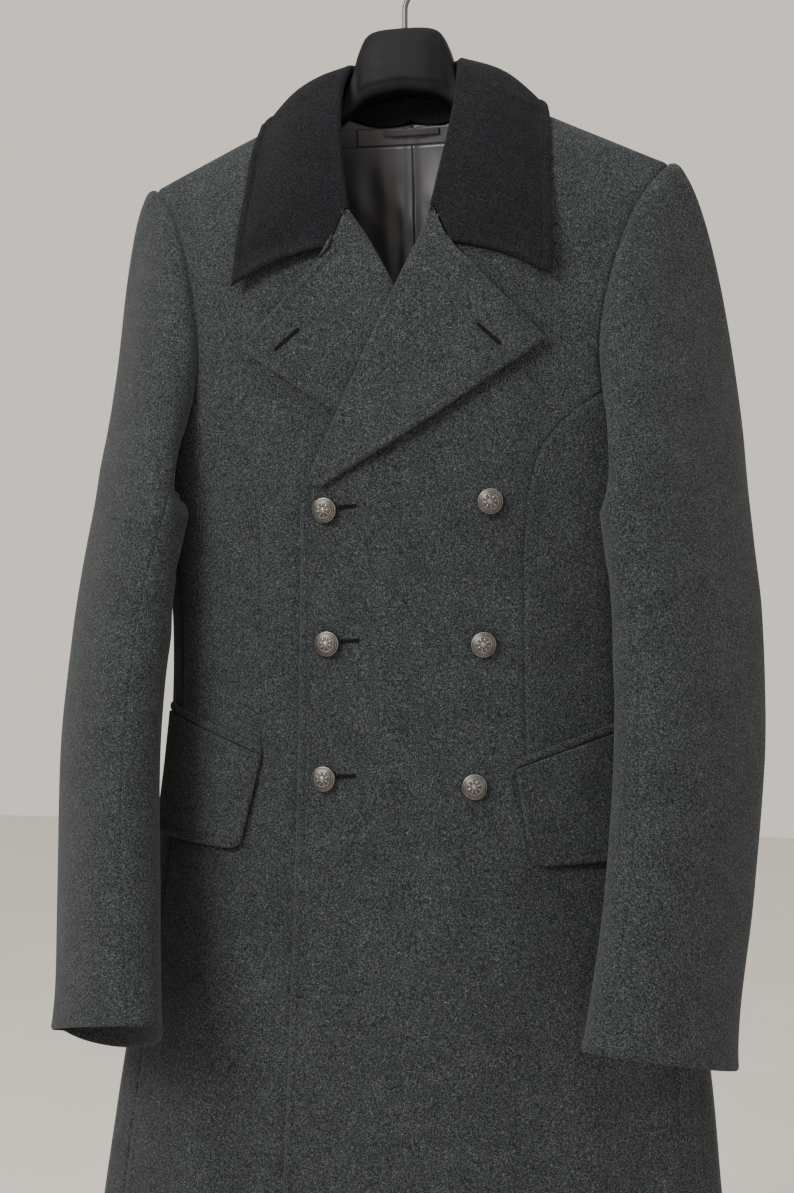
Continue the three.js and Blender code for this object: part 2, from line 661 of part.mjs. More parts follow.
function sleeveRidge(round, v) {
  const off = ((((round - SLEEVE_RIDGE.round + 0.5) % 1) + 1) % 1) - 0.5;
  const along = ease(v, 0, 2) * (1 - ease(v, SLEEVE.length - 3, SLEEVE.length - 1));
  return vec(0.55, -0.83, 0).multiplyScalar(
    SLEEVE_RIDGE.high * along * Math.exp(-((off / SLEEVE_RIDGE.width) ** 2)),
  );
}

const SLEEVE_CLEARANCE = 5;
function buildSleeve(side) {
  const tilt = side > 0 ? CUFF_TILT.left : CUFF_TILT.right;
  const loop = armholeLoop();
  const surface = (round, v) => {
    const point = sleevePoint(loop, round, v, tilt);
    point.x *= side;
    return v < 0.05 ? point : clearOfBody(point, mix(2, SLEEVE_CLEARANCE, ease(v, 0, 0.4)));
  };
  const last = HEAD_SPAN + SLEEVE.length - 1;
  const rows = [0, 0.3, 0.7, 1.1, 1.5, 2, 2.5, 3, 3.5, 4, 4.5, 5, 5.5, 6, 7, 8, 8.6, last];
  const seam = SEAM_GAP / 2 / 380;
  const parted = (v) => seam * (1 + 4 * (1 - ease(v, 0, 2.5)));
  const pieces = [
    {
      name: "sleeve_top",
      stops: (gap) => [
        SLEEVE_SEAMS.back - 1 + gap,
        -SLEEVE_SEAMS.crown,
        SLEEVE_SEAMS.crown,
        SLEEVE_SEAMS.front - gap,
      ],
      counts: [3, 6, 6],
    },
    {
      name: "sleeve_under",
      stops: (gap) => [SLEEVE_SEAMS.front + gap, SLEEVE_SEAMS.armpit, SLEEVE_SEAMS.back - gap],
      counts: [11, 2],
    },
  ];
  for (const piece of pieces) {
    const outer = [];
    const inner = [];
    for (const v of rows) {
      const rowOut = [];
      const rowIn = [];
      for (const round of columnsBetween(piece.stops(parted(v)), piece.counts)) {
        const point = surface(round, v);
        const inside = Math.min(last - 0.01, Math.max(0.07, v));
        const normal = surfaceNormal(surface, round, inside, 0.002, 0.01);
        const within = v === 0 ? loop(round).inner : point.clone().addScaledVector(normal, -CLOTH * side);
        if (v === 0 && side < 0) within.x *= -1;
        rowOut.push(point);
        rowIn.push(within);
      }
      outer.push(rowOut);
      inner.push(rowIn);
    }
    addMesh(`${piece.name}_${side > 0 ? "left" : "right"}`, wallGeometry(outer, inner), "wool");
  }
}

// A leaf that turns over a fold: under end, half-round turn, then out to its edge.
// Each section gives its points on the side that shows.
const FOLD_TURNS = [0, 60, 120, 180].map(THREE.MathUtils.degToRad);

function foldedSection({ fold, away, up, under, leaf }) {
  const points = [...under];
  const centre = fold.clone().addScaledVector(away, OUTER_FOLD);
  for (const turn of FOLD_TURNS) {
    const back = centre.clone().addScaledVector(away, -OUTER_FOLD * Math.sin(turn));
    points.push(back.addScaledVector(up, -OUTER_FOLD * Math.cos(turn)));
  }
  return [...points, ...leaf(points[points.length - 1])];
}

// The hidden side of a turned leaf, set back by the cloth. The thickness is negative where the
// sections follow each other from the wearer's left.
function leafBacks(sections, thickness) {
  const [rows, columns] = [sections.length, sections[0].length];
  const at = (r, c) => sections[Math.min(rows - 1, Math.max(0, r))][Math.min(columns - 1, Math.max(0, c))];
  return sections.map((section, r) =>
    section.map((point, c) => {
      const alongRow = at(r, c + 1).clone().sub(at(r, c - 1));
      const alongColumn = at(r + 1, c).clone().sub(at(r - 1, c));
      const normal = alongRow.cross(alongColumn).normalize();
      return point.clone().addScaledVector(normal, -thickness);
    }),
  );
}

// The tucked end and the turn are set back towards the middle of their fold, so that its tight
// inside keeps its order.
const TUCKED = 2;
function foldBacks(section, thickness) {
  const turned = section.slice(0, TUCKED + FOLD_TURNS.length);
  const [first, last] = [turned[TUCKED], turned[turned.length - 1]];
  const middle = first.clone().lerp(last, 0.5);
  const up = last.clone().sub(first).normalize();
  return turned.map((point, c) => {
    const way = c < TUCKED ? up : middle.clone().sub(point).normalize();
    return point.clone().addScaledVector(way, thickness);
  });
}

const LAPEL_SHARES = [0.18, 0.34, 0.5, 0.66, 0.83, 1];
const LAPEL_ROWS = [
  0, 0.1, 0.15, 0.2, 0.25, LAPEL_TIP_SHARE, 0.38, 0.48, 0.58, 0.68, 0.78, 0.86, 0.9,
];
const COLLAR_SHARES = [0.1, 0.22, GORGE_SHARE, 0.5, 0.68, 0.85, 1];
const GORGE_GAP = 1.35;

// How far the turned leaf's face lies above the cloth it was turned from
const LEAF_STACK = 2 * FOLD_RADIUS + DOUBLE_CLOTH / 2 - CLOTH / 2;

// Lapel of one side, from the gorge seam to where the roll line meets the front edge
function lapelSections(side) {
  const over = side > 0;
  const edge = over ? OVER_EDGE : UNDER_EDGE;
  const gorgeFold = vec(side * COLLAR[0].fx, COLLAR[0].fy, COLLAR[0].fz);
  const foot = { x: edge.find((row) => row.z === BREAK_Z).x, z: BREAK_Z };
  const tip = { x: side * LAPEL_TIP.x, z: LAPEL_TIP.z };
  const gorge = { x: side * GORGE_END.x, z: GORGE_END.z - SEAM_GAP };
  return LAPEL_ROWS.map((r) => {
    if (r === 0) return acrossGorge(side, collarSection(side), LAPEL_SHARES);
    const rollZ = mix(gorgeFold.z - SEAM_GAP, foot.z, r);
    const rollX = readTable(edge, "z", rollZ).x;
    const below = r > LAPEL_TIP_SHARE;
    const t = below ? (r - LAPEL_TIP_SHARE) / (1 - LAPEL_TIP_SHARE) : (r / LAPEL_TIP_SHARE) ** 1.5;
    const [from, to] = below ? [tip, foot] : [gorge, tip];
    const belly = below ? 5 * Math.sin(Math.PI * t) : 0;
    const end = { x: mix(from.x, to.x, t), z: mix(from.z, to.z, t) - belly };
    const level = levelAt(rollX, rollZ);
    const up = bodyNormal(turnAt(rollX, level), level, over);
    const rollPoint = onBody(rollX, rollZ, over, 0);
    const away = onBody(end.x, end.z, over, 0).sub(rollPoint);
    away.addScaledVector(up, -away.dot(up)).normalize();
    const length = Math.hypot(end.x - rollX, end.z - rollZ);
    const liftAt = (share, x) => {
      const high = over ? LAPEL_LIFT.over * ease(share, 0.3, 1) : LAPEL_LIFT.under * ease(-x, 50, 120);
      return high * ease(length, 10, 60);
    };
    const fold = rollPoint.clone().addScaledVector(up, FOLD_RADIUS - CLOTH / 2);
    const tuck = OUTER_FOLD + ROLL_TRIM - 3 * SEAM_GAP;
    const under = [1, 0.5].map((share) =>
      rollPoint
        .clone()
        .addScaledVector(up, -CLOTH / 2 - DOUBLE_CLOTH / 2)
        .addScaledVector(away, mix(OUTER_FOLD, tuck, share)),
    );
    return foldedSection({
      fold,
      away,
      up,
      under,
      leaf: () =>
        LAPEL_SHARES.map((share) => {
          const along = mix(OUTER_FOLD / length, 1, share);
          const x = mix(rollX, end.x, along);
          return onBody(x, mix(rollZ, end.z, along), over, LEAF_STACK + liftAt(along, x));
        }),
    });
  });
}

// Points of a collar end carried across the gorge seam: the turned ones, then even ones along the seam
function acrossGorge(side, points, leafShares) {
  const turned = points.slice(0, TUCKED + FOLD_TURNS.length);
  const seam = [turned[turned.length - 1], ...points.slice(turned.length, turned.length + 3)];
  const knots = [0, ...COLLAR_SHARES.slice(0, 3).map((share) => share / GORGE_SHARE)];
  const along = (share) => {
    let i = 0;
    while (i < knots.length - 2 && share > knots[i + 1]) i++;
    const t = (share - knots[i]) / (knots[i + 1] - knots[i]);
    return seam[i].clone().lerp(seam[i + 1], t);
  };
  const way = collarAlong(side).multiplyScalar(-side);
  const seamWay = seam[seam.length - 1].clone().sub(seam[0]).normalize();
  const across = way.clone().addScaledVector(seamWay, -way.dot(seamWay)).normalize();
  return [
    ...turned.map((point) => point.clone().addScaledVector(way, GORGE_GAP)),
    ...leafShares.map((share) => along(share).addScaledVector(across, GORGE_GAP)),
  ];
}

function buildLapel(side) {
  const sections = lapelSections(side);
  const backs = leafBacks(sections, -side * DOUBLE_CLOTH);
  const end = side > 0 ? 0 : collar.backs.length - 1;
  backs[0] = acrossGorge(side, collar.backs[end], LAPEL_SHARES);
  for (let r = 1; r < sections.length; r++) {
    const turned = foldBacks(sections[r], DOUBLE_CLOTH);
    backs[r].splice(0, turned.length, ...turned);
  }
  addMesh(side > 0 ? "lapel_left" : "lapel_right", wallGeometry(sections, backs), "wool");
}

// Where the collar's stand is sewn to the neckline, for a place along the collar
function neckPoint(at) {
  const a = Math.abs(at);
  if (a >= 0.48) {
    const share = mix(1, FRONT_NECK[0].share, (a - 0.48) / 0.52);
    const level = levelOf(Math.min(share, 0.9995));
    return bodyPoint(Math.sign(at) * turnAt(readTable(FRONT_NECK, "share", share).x, level), level);
  }
  const x = Math.sign(at) * NECK_HALF * Math.sin((a / 0.48) * (Math.PI / 2));
  const share = mix(NAPE_SHARE, 0.9995, (x / NECK_HALF) ** 2);
  return bodyPoint(turnAt(x, levelOf(share), true), levelOf(share));
}

const gorgeEndPoint = (side) =>
  onBody(side * GORGE_END.x, GORGE_END.z, side > 0, LEAF_STACK + GORGE_END.lift);

function collarRib(at) {
  const rib = readTable(COLLAR, "at", Math.abs(at));
  const side = Math.sign(at);
  return {
    fold: vec(side * rib.fx, rib.fy, rib.fz),
    edge: vec(side * rib.ex, rib.ey, rib.ez),
    swell: rib.swell,
  };
}

// The way the fold line runs, from the wearer's right towards the left
function collarAlong(at) {
  const next = collarRib(Math.max(-1, at - 0.02)).fold;
  const before = collarRib(Math.min(1, at + 0.02)).fold;
  return next.sub(before).normalize();
}

const STAND_GAP = 1.4;
const COLLAR_CLEARANCE = DOUBLE_CLOTH + 0.8;
function collarSection(at) {
  const rib = collarRib(at);
  const along = collarAlong(at);
  const away = rib.edge.clone().sub(rib.fold);
  away.addScaledVector(along, -away.dot(along)).normalize();
  const up = away.clone().cross(along).normalize();
  const neck = neckPoint(at);
  const inward = vec(-neck.x, -neck.y - 10, 0).normalize();
  const set = DOUBLE_CLOTH + STAND_GAP + CLOTH * 0.9;
  const foot = neck.clone().addScaledVector(inward, set);
  const standTop = rib.fold.clone().addScaledVector(away, OUTER_FOLD).addScaledVector(up, -OUTER_FOLD);
  const under = [0, 0.5].map((t) => foot.clone().lerp(standTop, t));
  const gorge = ease(Math.abs(at), 0.86, 1);
  const gorgeEnd = gorgeEndPoint(Math.sign(at));
  const leafPoint = (start, share) => {
    const point = start.clone().lerp(rib.edge, share);
    point.addScaledVector(up, Math.sin(Math.PI * Math.min(1, share * 1.1)) * rib.swell);
    if (share <= GORGE_SHARE) return point.lerp(start.clone().lerp(gorgeEnd, share / GORGE_SHARE), gorge);
    const rest = (share - GORGE_SHARE) / (1 - GORGE_SHARE);
    const lower = gorgeEnd.clone().lerp(rib.edge, rest);
    lower.z += 4 * Math.sin(Math.PI * rest);
    return point.lerp(lower, gorge);
  };
  const clear = mix(COLLAR_CLEARANCE, COLLAR_CLEARANCE + 2, gorge);
  return foldedSection({
    fold: rib.fold,
    away,
    up,
    under,
    leaf: (start) =>
      COLLAR_SHARES.map((share) => {
        const point = leafPoint(start, share);
        return share > GORGE_SHARE ? clearOfShoulders(point, clear) : point;
      }),
  });
}

const COLLAR_HALF = [1, 0.93, 0.86, 0.79, 0.72, 0.66, 0.6, 0.54, 0.48, 0.41, 0.34, 0.26, 0.18, 0.09];

function collarLeaf() {
  const places = [...COLLAR_HALF, 0, ...[...COLLAR_HALF].reverse().map((a) => -a)];
  const faces = places.map(collarSection);
  return { faces, backs: leafBacks(faces, DOUBLE_CLOTH) };
}

// Pocket flap and welt of one side, moved out from the front's own surface
function flapPoint(side, along, down, out) {
  const hung = side > 0 ? FLAP.left : FLAP.right;
  const front = mix(hung.frontTurn, hung.frontFootTurn, down);
  const turn = THREE.MathUtils.degToRad(mix(front, FLAP.rearTurn, along));
  const ring = readTable(BODY, "z", hung.footZ);
  const x = ring.half * Math.sin(turn);
  const inCorner = clamp01(1 - along / FLAP.cornerShare);
  const footZ = hung.footZ + FLAP.footRise * along + FLAP.corner * (1 - Math.sqrt(1 - inCorner ** 2));
  const topZ = hung.topZ + FLAP.topSlope * (x - FLAP.frontX);
  const z = mix(topZ, footZ, down);
  const level = levelAt(x, z);
  const over = side > 0;
  return bodyPoint(side * turn, level, over).addScaledVector(bodyNormal(side * turn, level, over), out);
}

function buildPocket(side) {
  const alongs = [0, FLAP.cornerShare * 0.35, FLAP.cornerShare, 0.3, 0.44, 0.58, 0.72, 0.86, 1];
  const downs = [0, 0.33, 0.66, 1];
  const grid = (out) => downs.map((d) => alongs.map((a) => flapPoint(side, a, d, out(d))));
  const clear = (d) => 0.9 + FLAP.lift * d;
  const word = side > 0 ? "left" : "right";
  const geometry = wallGeometry(grid((d) => clear(d) + DOUBLE_CLOTH), grid(clear));
  addMesh(`pocket_flap_${word}`, geometry, "wool");
  const weltGrid = (out) =>
    [SEAM_GAP, WELT.height].map((rise) =>
      steps(8).map((a) => flapPoint(side, a, 0, out).add(vec(0, 0, rise))),
    );
  addMesh(`pocket_welt_${word}`, wallGeometry(weltGrid(WELT.proud + 0.9), weltGrid(0.9)), "wool");
}

// A domed metal button on its shank, standing on the over front
function buildButton({ name, x, z }) {
  const seat = 0.4;
  const rimZ = seat + BUTTON.shankHeight;
  const profile = [
    [0, seat],
    [BUTTON.shank, seat],
    [BUTTON.shank, rimZ],
    [BUTTON.radius, rimZ],
    [BUTTON.radius, rimZ + BUTTON.rim],
    [BUTTON.radius * 0.75, rimZ + BUTTON.rim + BUTTON.dome * 0.5],
    [BUTTON.radius * 0.4, rimZ + BUTTON.rim + BUTTON.dome * 0.88],
    [0, rimZ + BUTTON.rim + BUTTON.dome],
  ].map(([r, h]) => new THREE.Vector2(r, h));
  const geometry = new THREE.LatheGeometry(profile, BUTTON.sides);
  const level = levelAt(x, z);
  const normal = bodyNormal(turnAt(x, level), level, true);
  const mesh = addMesh(name, geometry, "pewter");
  mesh.quaternion.setFromUnitVectors(vec(0, 1, 0), normal);
  mesh.position.copy(onBody(x, z, true, 0));
}

// Hanger body as rounded sections along its length
function buildHanger() {
  const half = HANGER.map((row) => row.x);
  const places = [...half.slice(1).reverse().map((x) => -x), ...half];
  const sides = 16;
  const rings = places.map((x) => {
    const row = HANGER.find((r) => r.x === Math.abs(x));
    const middle = (row.top + row.under) / 2;
    const tall = (row.top - row.under) / 2;
    const power = 2 / row.square;
    return Array.from({ length: sides }, (_, i) => {
      const angle = (2 * Math.PI * (i + 0.5)) / sides;
      const [c, s] = [Math.cos(angle), Math.sin(angle)];
      const bend = (v) => Math.sign(v) * Math.abs(v) ** power;
      return vec(x, row.thick * bend(c), middle + tall * bend(s));
    });
  });
  addMesh("hanger_body", loftGeometry(rings), "plastic");
}

// A closed loft through rings of points, its ends capped
function loftGeometry(rings) {
  const sides = rings[0].length;
  const points = rings.flat().flatMap((p) => p.toArray());
  const index = [];
  for (let r = 0; r < rings.length - 1; r++) {
    for (let i = 0; i < sides; i++) {
      const j = (i + 1) % sides;
      const [a, b, c, d] = [r * sides + i, r * sides + j, (r + 1) * sides + j, (r + 1) * sides + i];
      index.push(a, b, c, a, c, d);
    }
  }
  for (const [r, flip] of [
    [0, true],
    [rings.length - 1, false],
  ]) {
    const centre = rings[r].reduce((sum, p) => sum.add(p), vec(0, 0, 0)).divideScalar(sides);
    const tip = points.length / 3;
    points.push(...centre.toArray());
    for (let i = 0; i < sides; i++) {
      const [a, b] = [r * sides + i, r * sides + ((i + 1) % sides)];
      index.push(...(flip ? [b, a, tip] : [a, b, tip]));
    }
  }
  return facingOut(points, index);
}

// Wire hook: a straight stem that swings out and over in a round bow
function buildHook() {
  const centreZ = -HOOK.bow + HOOK.wire;
  const points = [vec(0, 0, HOOK.stemFoot), vec(0, 0, HOOK.stemTop)];
  for (let turn = -58; turn <= 180 + HOOK.tipTurn; turn += 16) {
    const angle = THREE.MathUtils.degToRad(turn);
    points.push(vec(HOOK.bow * Math.cos(angle), 0, centreZ + HOOK.bow * Math.sin(angle)));
  }
  const path = new THREE.CatmullRomCurve3(points);
  const sides = 6;
  const section = new THREE.Shape(
    Array.from({ length: sides }, (_, i) => {
      const angle = (2 * Math.PI * i) / sides;
      return new THREE.Vector2(HOOK.wire * Math.cos(angle), HOOK.wire * Math.sin(angle));
    }),
  );
  const geometry = new THREE.ExtrudeGeometry(section, { steps: 30, extrudePath: path, bevelEnabled: false });
  addMesh("hanger_hook", geometry, "wire");
}

// Sewn loop across the lining's yoke, for hanging the coat on a peg
const HANG_LOOP = { half: 26, foot: -160.5, top: -154.5, thick: 1.6, bow: 3 };
function buildHangLoop() {
  const lined = CLOTH + LINING_GAP + LINING + 0.4;
  const grid = (out) =>
    [HANG_LOOP.foot, HANG_LOOP.top].map((z) =>
      steps(8).map((t) => {
        const x = mix(-HANG_LOOP.half, HANG_LOOP.half, t);
        const bow = HANG_LOOP.bow * Math.sin(Math.PI * t);
        return onBody(x, z, false, -lined - bow - out, true);
      }),
    );
  addMesh("hang_loop", wallGeometry(grid(HANG_LOOP.thick), grid(0)), "collarWool");
}

const collar = collarLeaf();
addMesh("collar", wallGeometry(collar.faces, collar.backs), "collarWool");
for (const side of [1, -1]) {
  buildFront(side);
  buildSidePanel(side);
  buildBack(side);
  buildSleeve(side);
  buildLapel(side);
  buildPocket(side);
}
buildLining();
BUTTONS.forEach(buildButton);
buildHanger();
buildHook();
buildHangLoop();

export default coat;
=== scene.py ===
"""A long double-breasted wool overcoat on a broad black hanger.

Sizes are millimetres in the part's own frame: +Z up, the front faces -Y and +X is the wearer's left.
They become metres where a mesh is made. The turn is an angle round the body, 0 at centre front and
90 degrees at the wearer's left side. The level is a height up to the underarm and above it a share
of the way to the sloping shoulder ridge.
"""
import math

import bpy
import numpy as np
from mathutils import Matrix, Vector


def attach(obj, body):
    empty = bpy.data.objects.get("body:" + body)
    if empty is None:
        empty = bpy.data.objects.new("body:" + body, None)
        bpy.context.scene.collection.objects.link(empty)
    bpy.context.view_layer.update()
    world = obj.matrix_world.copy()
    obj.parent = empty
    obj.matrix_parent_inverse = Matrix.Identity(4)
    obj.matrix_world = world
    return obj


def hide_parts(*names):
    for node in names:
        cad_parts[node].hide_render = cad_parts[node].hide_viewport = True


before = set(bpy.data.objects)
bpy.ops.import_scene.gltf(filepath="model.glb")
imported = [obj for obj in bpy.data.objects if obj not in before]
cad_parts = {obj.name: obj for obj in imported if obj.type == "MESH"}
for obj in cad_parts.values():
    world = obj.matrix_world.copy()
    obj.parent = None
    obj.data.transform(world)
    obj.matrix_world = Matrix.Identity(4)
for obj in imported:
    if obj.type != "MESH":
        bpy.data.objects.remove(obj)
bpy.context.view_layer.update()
MM = 0.001

# Thicknesses of the cloths and the gaps between them
CLOTH = 2.5
DOUBLE_CLOTH = 3.2
LINING = 1.2
LINING_GAP = 0.9
SEAM_GAP = 0.3

# Heights and widths of the coat
HEM_Z = -1290
POCKET_Z = -714
BREAK_Z = -490
UNDERARM_Z = -455
RIDGE_AT_CENTRE_Z = -101
SHOULDER_SLOPE = 0.4537
UPPER_SPAN = 350
NECK_HALF = 75
SHOULDER_HALF = 229
SIDE_SEAM_TURN = math.radians(66)

# Tables are rows under named columns
def rows_of(columns, *rows):
    names = columns.split()
    return {name: np.array([row[i] for row in rows], float) for i, name in enumerate(names)}


# Body sections by height: half width, shift of the middle, depth in front and behind
BODY = rows_of(
    "z half shift front back",
    (-455, 235, 0, 70, 46),
    (-530, 220, 0, 70, 44),
    (-600, 213, 0, 68, 42),
    (-700, 217, 1, 68, 42),
    (-800, 230, 3, 70, 43),
    (-960, 255, 4, 75, 46),
    (-1090, 269, 0, 80, 48),
    (-1290, 292, -2, 87, 52),
)
ROUND_OVER = {"front": 2.2, "back": 4}
BACK_FLATNESS = 0.75

# Soft flutes of the skirt: turn in degrees, width, and depth at the hem
FLUTES = (
    (-128, 17, 9),
    (-84, 15, 8),
    (-47, 12, 6),
    (-22, 9, -3),
    (28, 12, 4),
    (55, 11, -4),
    (88, 15, 8),
    (130, 17, 9),
    (160, 12, -5),
    (-160, 12, -5),
)
FLUTE_TOP_Z = -640

# Lines of the edges, seams, neck and armholes
OVER_EDGE = rows_of(
    "z x",
    (-1290, -96),
    (-1070, -88),
    (-742, -78),
    (-530, -74),
    (-490, -70),
    (-425, -43),
    (-313, 7),
    (-243, 39),
)
UNDER_EDGE = rows_of("z x", (-1290, 101), (-742, 92), (-490, 84), (-425, 57), (-313, 7), (-243, -33))
PRINCESS = rows_of(
    "level x",
    (-1290, 132),
    (-714, 116),
    (-600, 114),
    (-495, 116),
    (-455, 125),
    (-433, 137),
    (-412, 153),
    (-385, 180),
)
PRINCESS_TOP_SHARE = 0.2
FRONT_NECK = rows_of("share x", (0.632, 45), (0.75, 51), (0.86, 60), (0.94, 68), (1, NECK_HALF))
NECK_FOOT_SHARE = 0.632
NAPE_SHARE = 0.867
FRONT_ARMHOLE = rows_of(
    "share x",
    (0, 215),
    (0.05, 203),
    (0.12, 189),
    (0.22, 179),
    (0.35, 176),
    (0.5, 181),
    (0.68, 192),
    (0.85, 208),
    (1, SHOULDER_HALF),
)
BACK_ARMHOLE = rows_of(
    "share turn",
    (0, 66),
    (0.015, 82),
    (0.035, 97),
    (0.06, 107),
    (0.1, 114),
    (0.15, 118),
    (0.3, 121),
    (0.5, 121.7),
    (0.7, 119.8),
    (0.87, 114.4),
    (1, 103),
)

# The left front lies over the right one and its turned lapel
OVERLAP = {"low": 3.2, "high": 8.7, "top": -235, "full": -305, "bottom": -475, "low_z": -540}
OVERLAP_ENDS = (96, 146)

# Sleeve sections, the set of the sleeve head, and the slant of the cuffs
SLEEVE = rows_of(
    "ox oy oz ix iy iz front front_turn back back_turn",
    (291.2, 44, -450, 179.0, -66, -506, 56, 6, 18, 28),
    (297.6, 36, -530, 185.0, -74, -545, 51, 18, 17, 30),
    (301.5, 24, -600, 192.0, -84, -600, 49, 24, 24, 31),
    (303.6, 2, -700, 195.7, -104, -700, 48, 26, 30, 32),
    (296.8, -24, -800, 190.9, -124, -800, 46, 26, 33, 31),
    (288.8, -57, -900, 179.9, -143, -892, 43, 24, 32, 26),
    (288.9, -73, -951, 174.9, -150, -924, 42, 22, 32, 24),
)
SLEEVE_HEAD = rows_of(
    "round x y z fall",
    (-0.1, 75, 32, 0, 190),
    (0, 97, 6, 36, 215),
    (0.12, 66, -58, 0, 200),
    (0.3, 22, -66, -20, 120),
    (0.42, -24, -66, -30, 60),
    (0.5, 8, -50, -35, 60),
    (0.6, 55, 25, -20, 60),
    (0.75, 40, 42, -10, 110),
    (0.9, 75, 32, 0, 190),
    (1, 97, 6, 36, 215),
)
CUFF_TILT = {1: {"front": 0.14, "back": 0.2}, -1: {"front": 0.24, "back": 0.75}}
SLEEVE_SEAMS = {"front": 0.41, "back": 0.8}
HEAD_SPAN = 3
SLEEVE_LAST = HEAD_SPAN + 6
SLEEVE_RIDGE = {"round": 0.07, "width": 0.05, "high": 4}
SLEEVE_CLEARANCE = 5
# How far a millimetre goes: a share of the sleeve's round, and rows at its head and its cuff
SLEEVE_SCALE = {"gap": 1 / 380, "round": 1 / 430, "head": 0.012, "cuff": 0.0175}
SEAM_ALLOWANCE = {"under": 5, "deep": 4.6}
CLEAR_SOFTNESS = 2
SIDE_EXTRA = {"high": 4, "turn": 0.5}

# Collar ribs from the centre back to the gorge: fold line, outer edge, swell of the fall
COLLAR = rows_of(
    "at fx fy fz ex ey ez swell",
    (0, 0, 41, -97, 0, 60, -183, 4),
    (0.18, 27, 34, -98, 60, 55, -178, 5),
    (0.34, 44, 16, -101, 103, 34, -158, 7),
    (0.48, 48, -8, -110, 125, 2, -146, 8),
    (0.6, 50, -27, -138, 131, -22, -178, 8),
    (0.72, 47, -42, -174, 135, -42, -224, 7),
    (0.86, 41, -54, -212, 138, -56, -268, 5),
    (1, 35, -60, -243, 139, -61, -305, 2),
)
# Lengths by which a distance from a border becomes a share of the collar
COLLAR_LENGTHS = {"half": 250, "fall": 95}
COLLAR_AT_SHOULDER = 0.48
NEAR_RIDGE_SHARE = 0.9995
GORGE_END = {"x": 53, "z": -277, "lift": 1, "clear": 2}
GORGE_SHARE = 0.34
GORGE_GAP = 1.35
GORGE_FOLD_Z = -243
FOLD_RADIUS = 2.2
OUTER_FOLD = FOLD_RADIUS + DOUBLE_CLOTH / 2
ROLL_TRIM = 2
FRONT_TRIM = 1.09 * (OUTER_FOLD + ROLL_TRIM)
LEAF_STACK = 2 * FOLD_RADIUS + DOUBLE_CLOTH / 2 - CLOTH / 2
STAND_GAP = 1.4
COLLAR_CLEARANCE = DOUBLE_CLOTH + 0.8
LAPEL_TIP = {"x": 129, "z": -360, "share": 0.3}
LAPEL_LIFT = {"over": 5, "under": 4}
LAPEL_FOOT_ROW = 0.94
LAPEL_LENGTH = 330

# Pocket flaps by side, then what both share
FLAP = {
    1: {"top": -716, "foot": -796, "front_turn": 29, "foot_turn": 30.5},
    -1: {"top": -712, "foot": -790, "front_turn": 31.4, "foot_turn": 35.5},
    "front_x": 109,
    "top_slope": 0.34,
    "rear_turn": 76,
    "foot_rise": 10,
    "corner": 9,
    "corner_share": 0.11,
    "lift": 3.2,
    "clear": 0.9,
    "long": 118,
    "deep": 82,
}
WELT = {"height": 8, "proud": 2.2}

# Lining and the tape of the hang loop
YOKE = {"seam": -168, "top": -153.5, "half": 50}
LINING_CUT = {"half": 165, "foot": -430, "below_ridge": 14}
LINING_FOLD_DEPTH = 0.7
HANG_LOOP = {"half": 26, "foot": -160.5, "top": -154.5, "thick": 1.6, "bow": 3}

# Buttons by node: x and z of each
BUTTONS = {
    "button_hole_1": (-50, -499),
    "button_hole_2": (-50, -612),
    "button_hole_3": (-53, -726),
    "button_show_1": (86, -493),
    "button_show_2": (81, -612),
    "button_show_3": (74, -730),
}
BUTTON = {"radius": 10.8, "shank_height": 2.4, "rim": 1.4, "dome": 4.2, "seat": 0.4}
BUTTON_DOME = {"spread": 0.97, "set_down": 0.45}
BUTTON_SPIN = {"1": 9, "2": -14, "3": 21}

# Hanger sections from its middle to its end, and the wire hook
HANGER = rows_of(
    "x top under thick square",
    (0, -77, -133, 19, 5),
    (22, -78, -136, 18, 5),
    (33, -82, -139, 15, 4),
    (40, -95, -143, 12, 4),
    (46, -113, -148, 11, 3.4),
    (55, -131, -154, 11, 2.8),
    (75, -140, -170, 12, 2.3),
    (110, -154.6, -190, 12, 2),
    (160, -178, -214, 11, 2),
    (200, -197, -230, 10, 2),
    (214, -208, -228, 8, 2),
)
HANGER_TIP = {"from": 205, "half": 9.6, "flat": 0.55}
HANGER_PLATE = {"half": 44, "proud": 0.9, "across": (42, 36), "foot": (0.03, 0.12), "top": (0.86, 0.95)}
HOOK = {"wire": 2.4, "bow": 22.4, "bow_turn": -58, "tip_turn": 25, "stem_top": -58, "stem_foot": -76.6}
HOOK_BEND = 22.0

# Sewing: distances from a turned edge, and stitch sizes
TOPSTITCH = 7.5
FACING = 40
CUFF_FACING_ROW = 8.2
STITCH = {"long": 2.5, "pitch": 3.5, "thick": 0.34, "proud": 0.12}
# A field value beyond every row of stitches
FAR = 99
# Distances from a border at which a grid has its closest lines
NEAR = np.array([0, 0.35, 0.8, 1.5, 2.5, 3.8, 5.2, 6.2, 6.9, 7.5, 8.1, 8.9, 10.5, 13.5])
# The most of a short span that the closest lines of one border may take
NEAR_SHARE = 0.42


# Small mathematics
def ease(value, start, end):
    t = np.clip((np.asarray(value, float) - start) / (end - start), 0, 1)
    return t * t * (3 - 2 * t)


def mix(a, b, t):
    return a + (b - a) * t


def bump(value, centre, width):
    return np.exp(-(((value - centre) / width) ** 2))


def unit(vectors):
    return vectors / np.maximum(np.linalg.norm(vectors, axis=-1, keepdims=True), 1e-9)


def dot(a, b):
    return (a * b).sum(-1, keepdims=True)


def stack(x, y, z):
    return np.stack(np.broadcast_arrays(x, y, z), -1).astype(float)


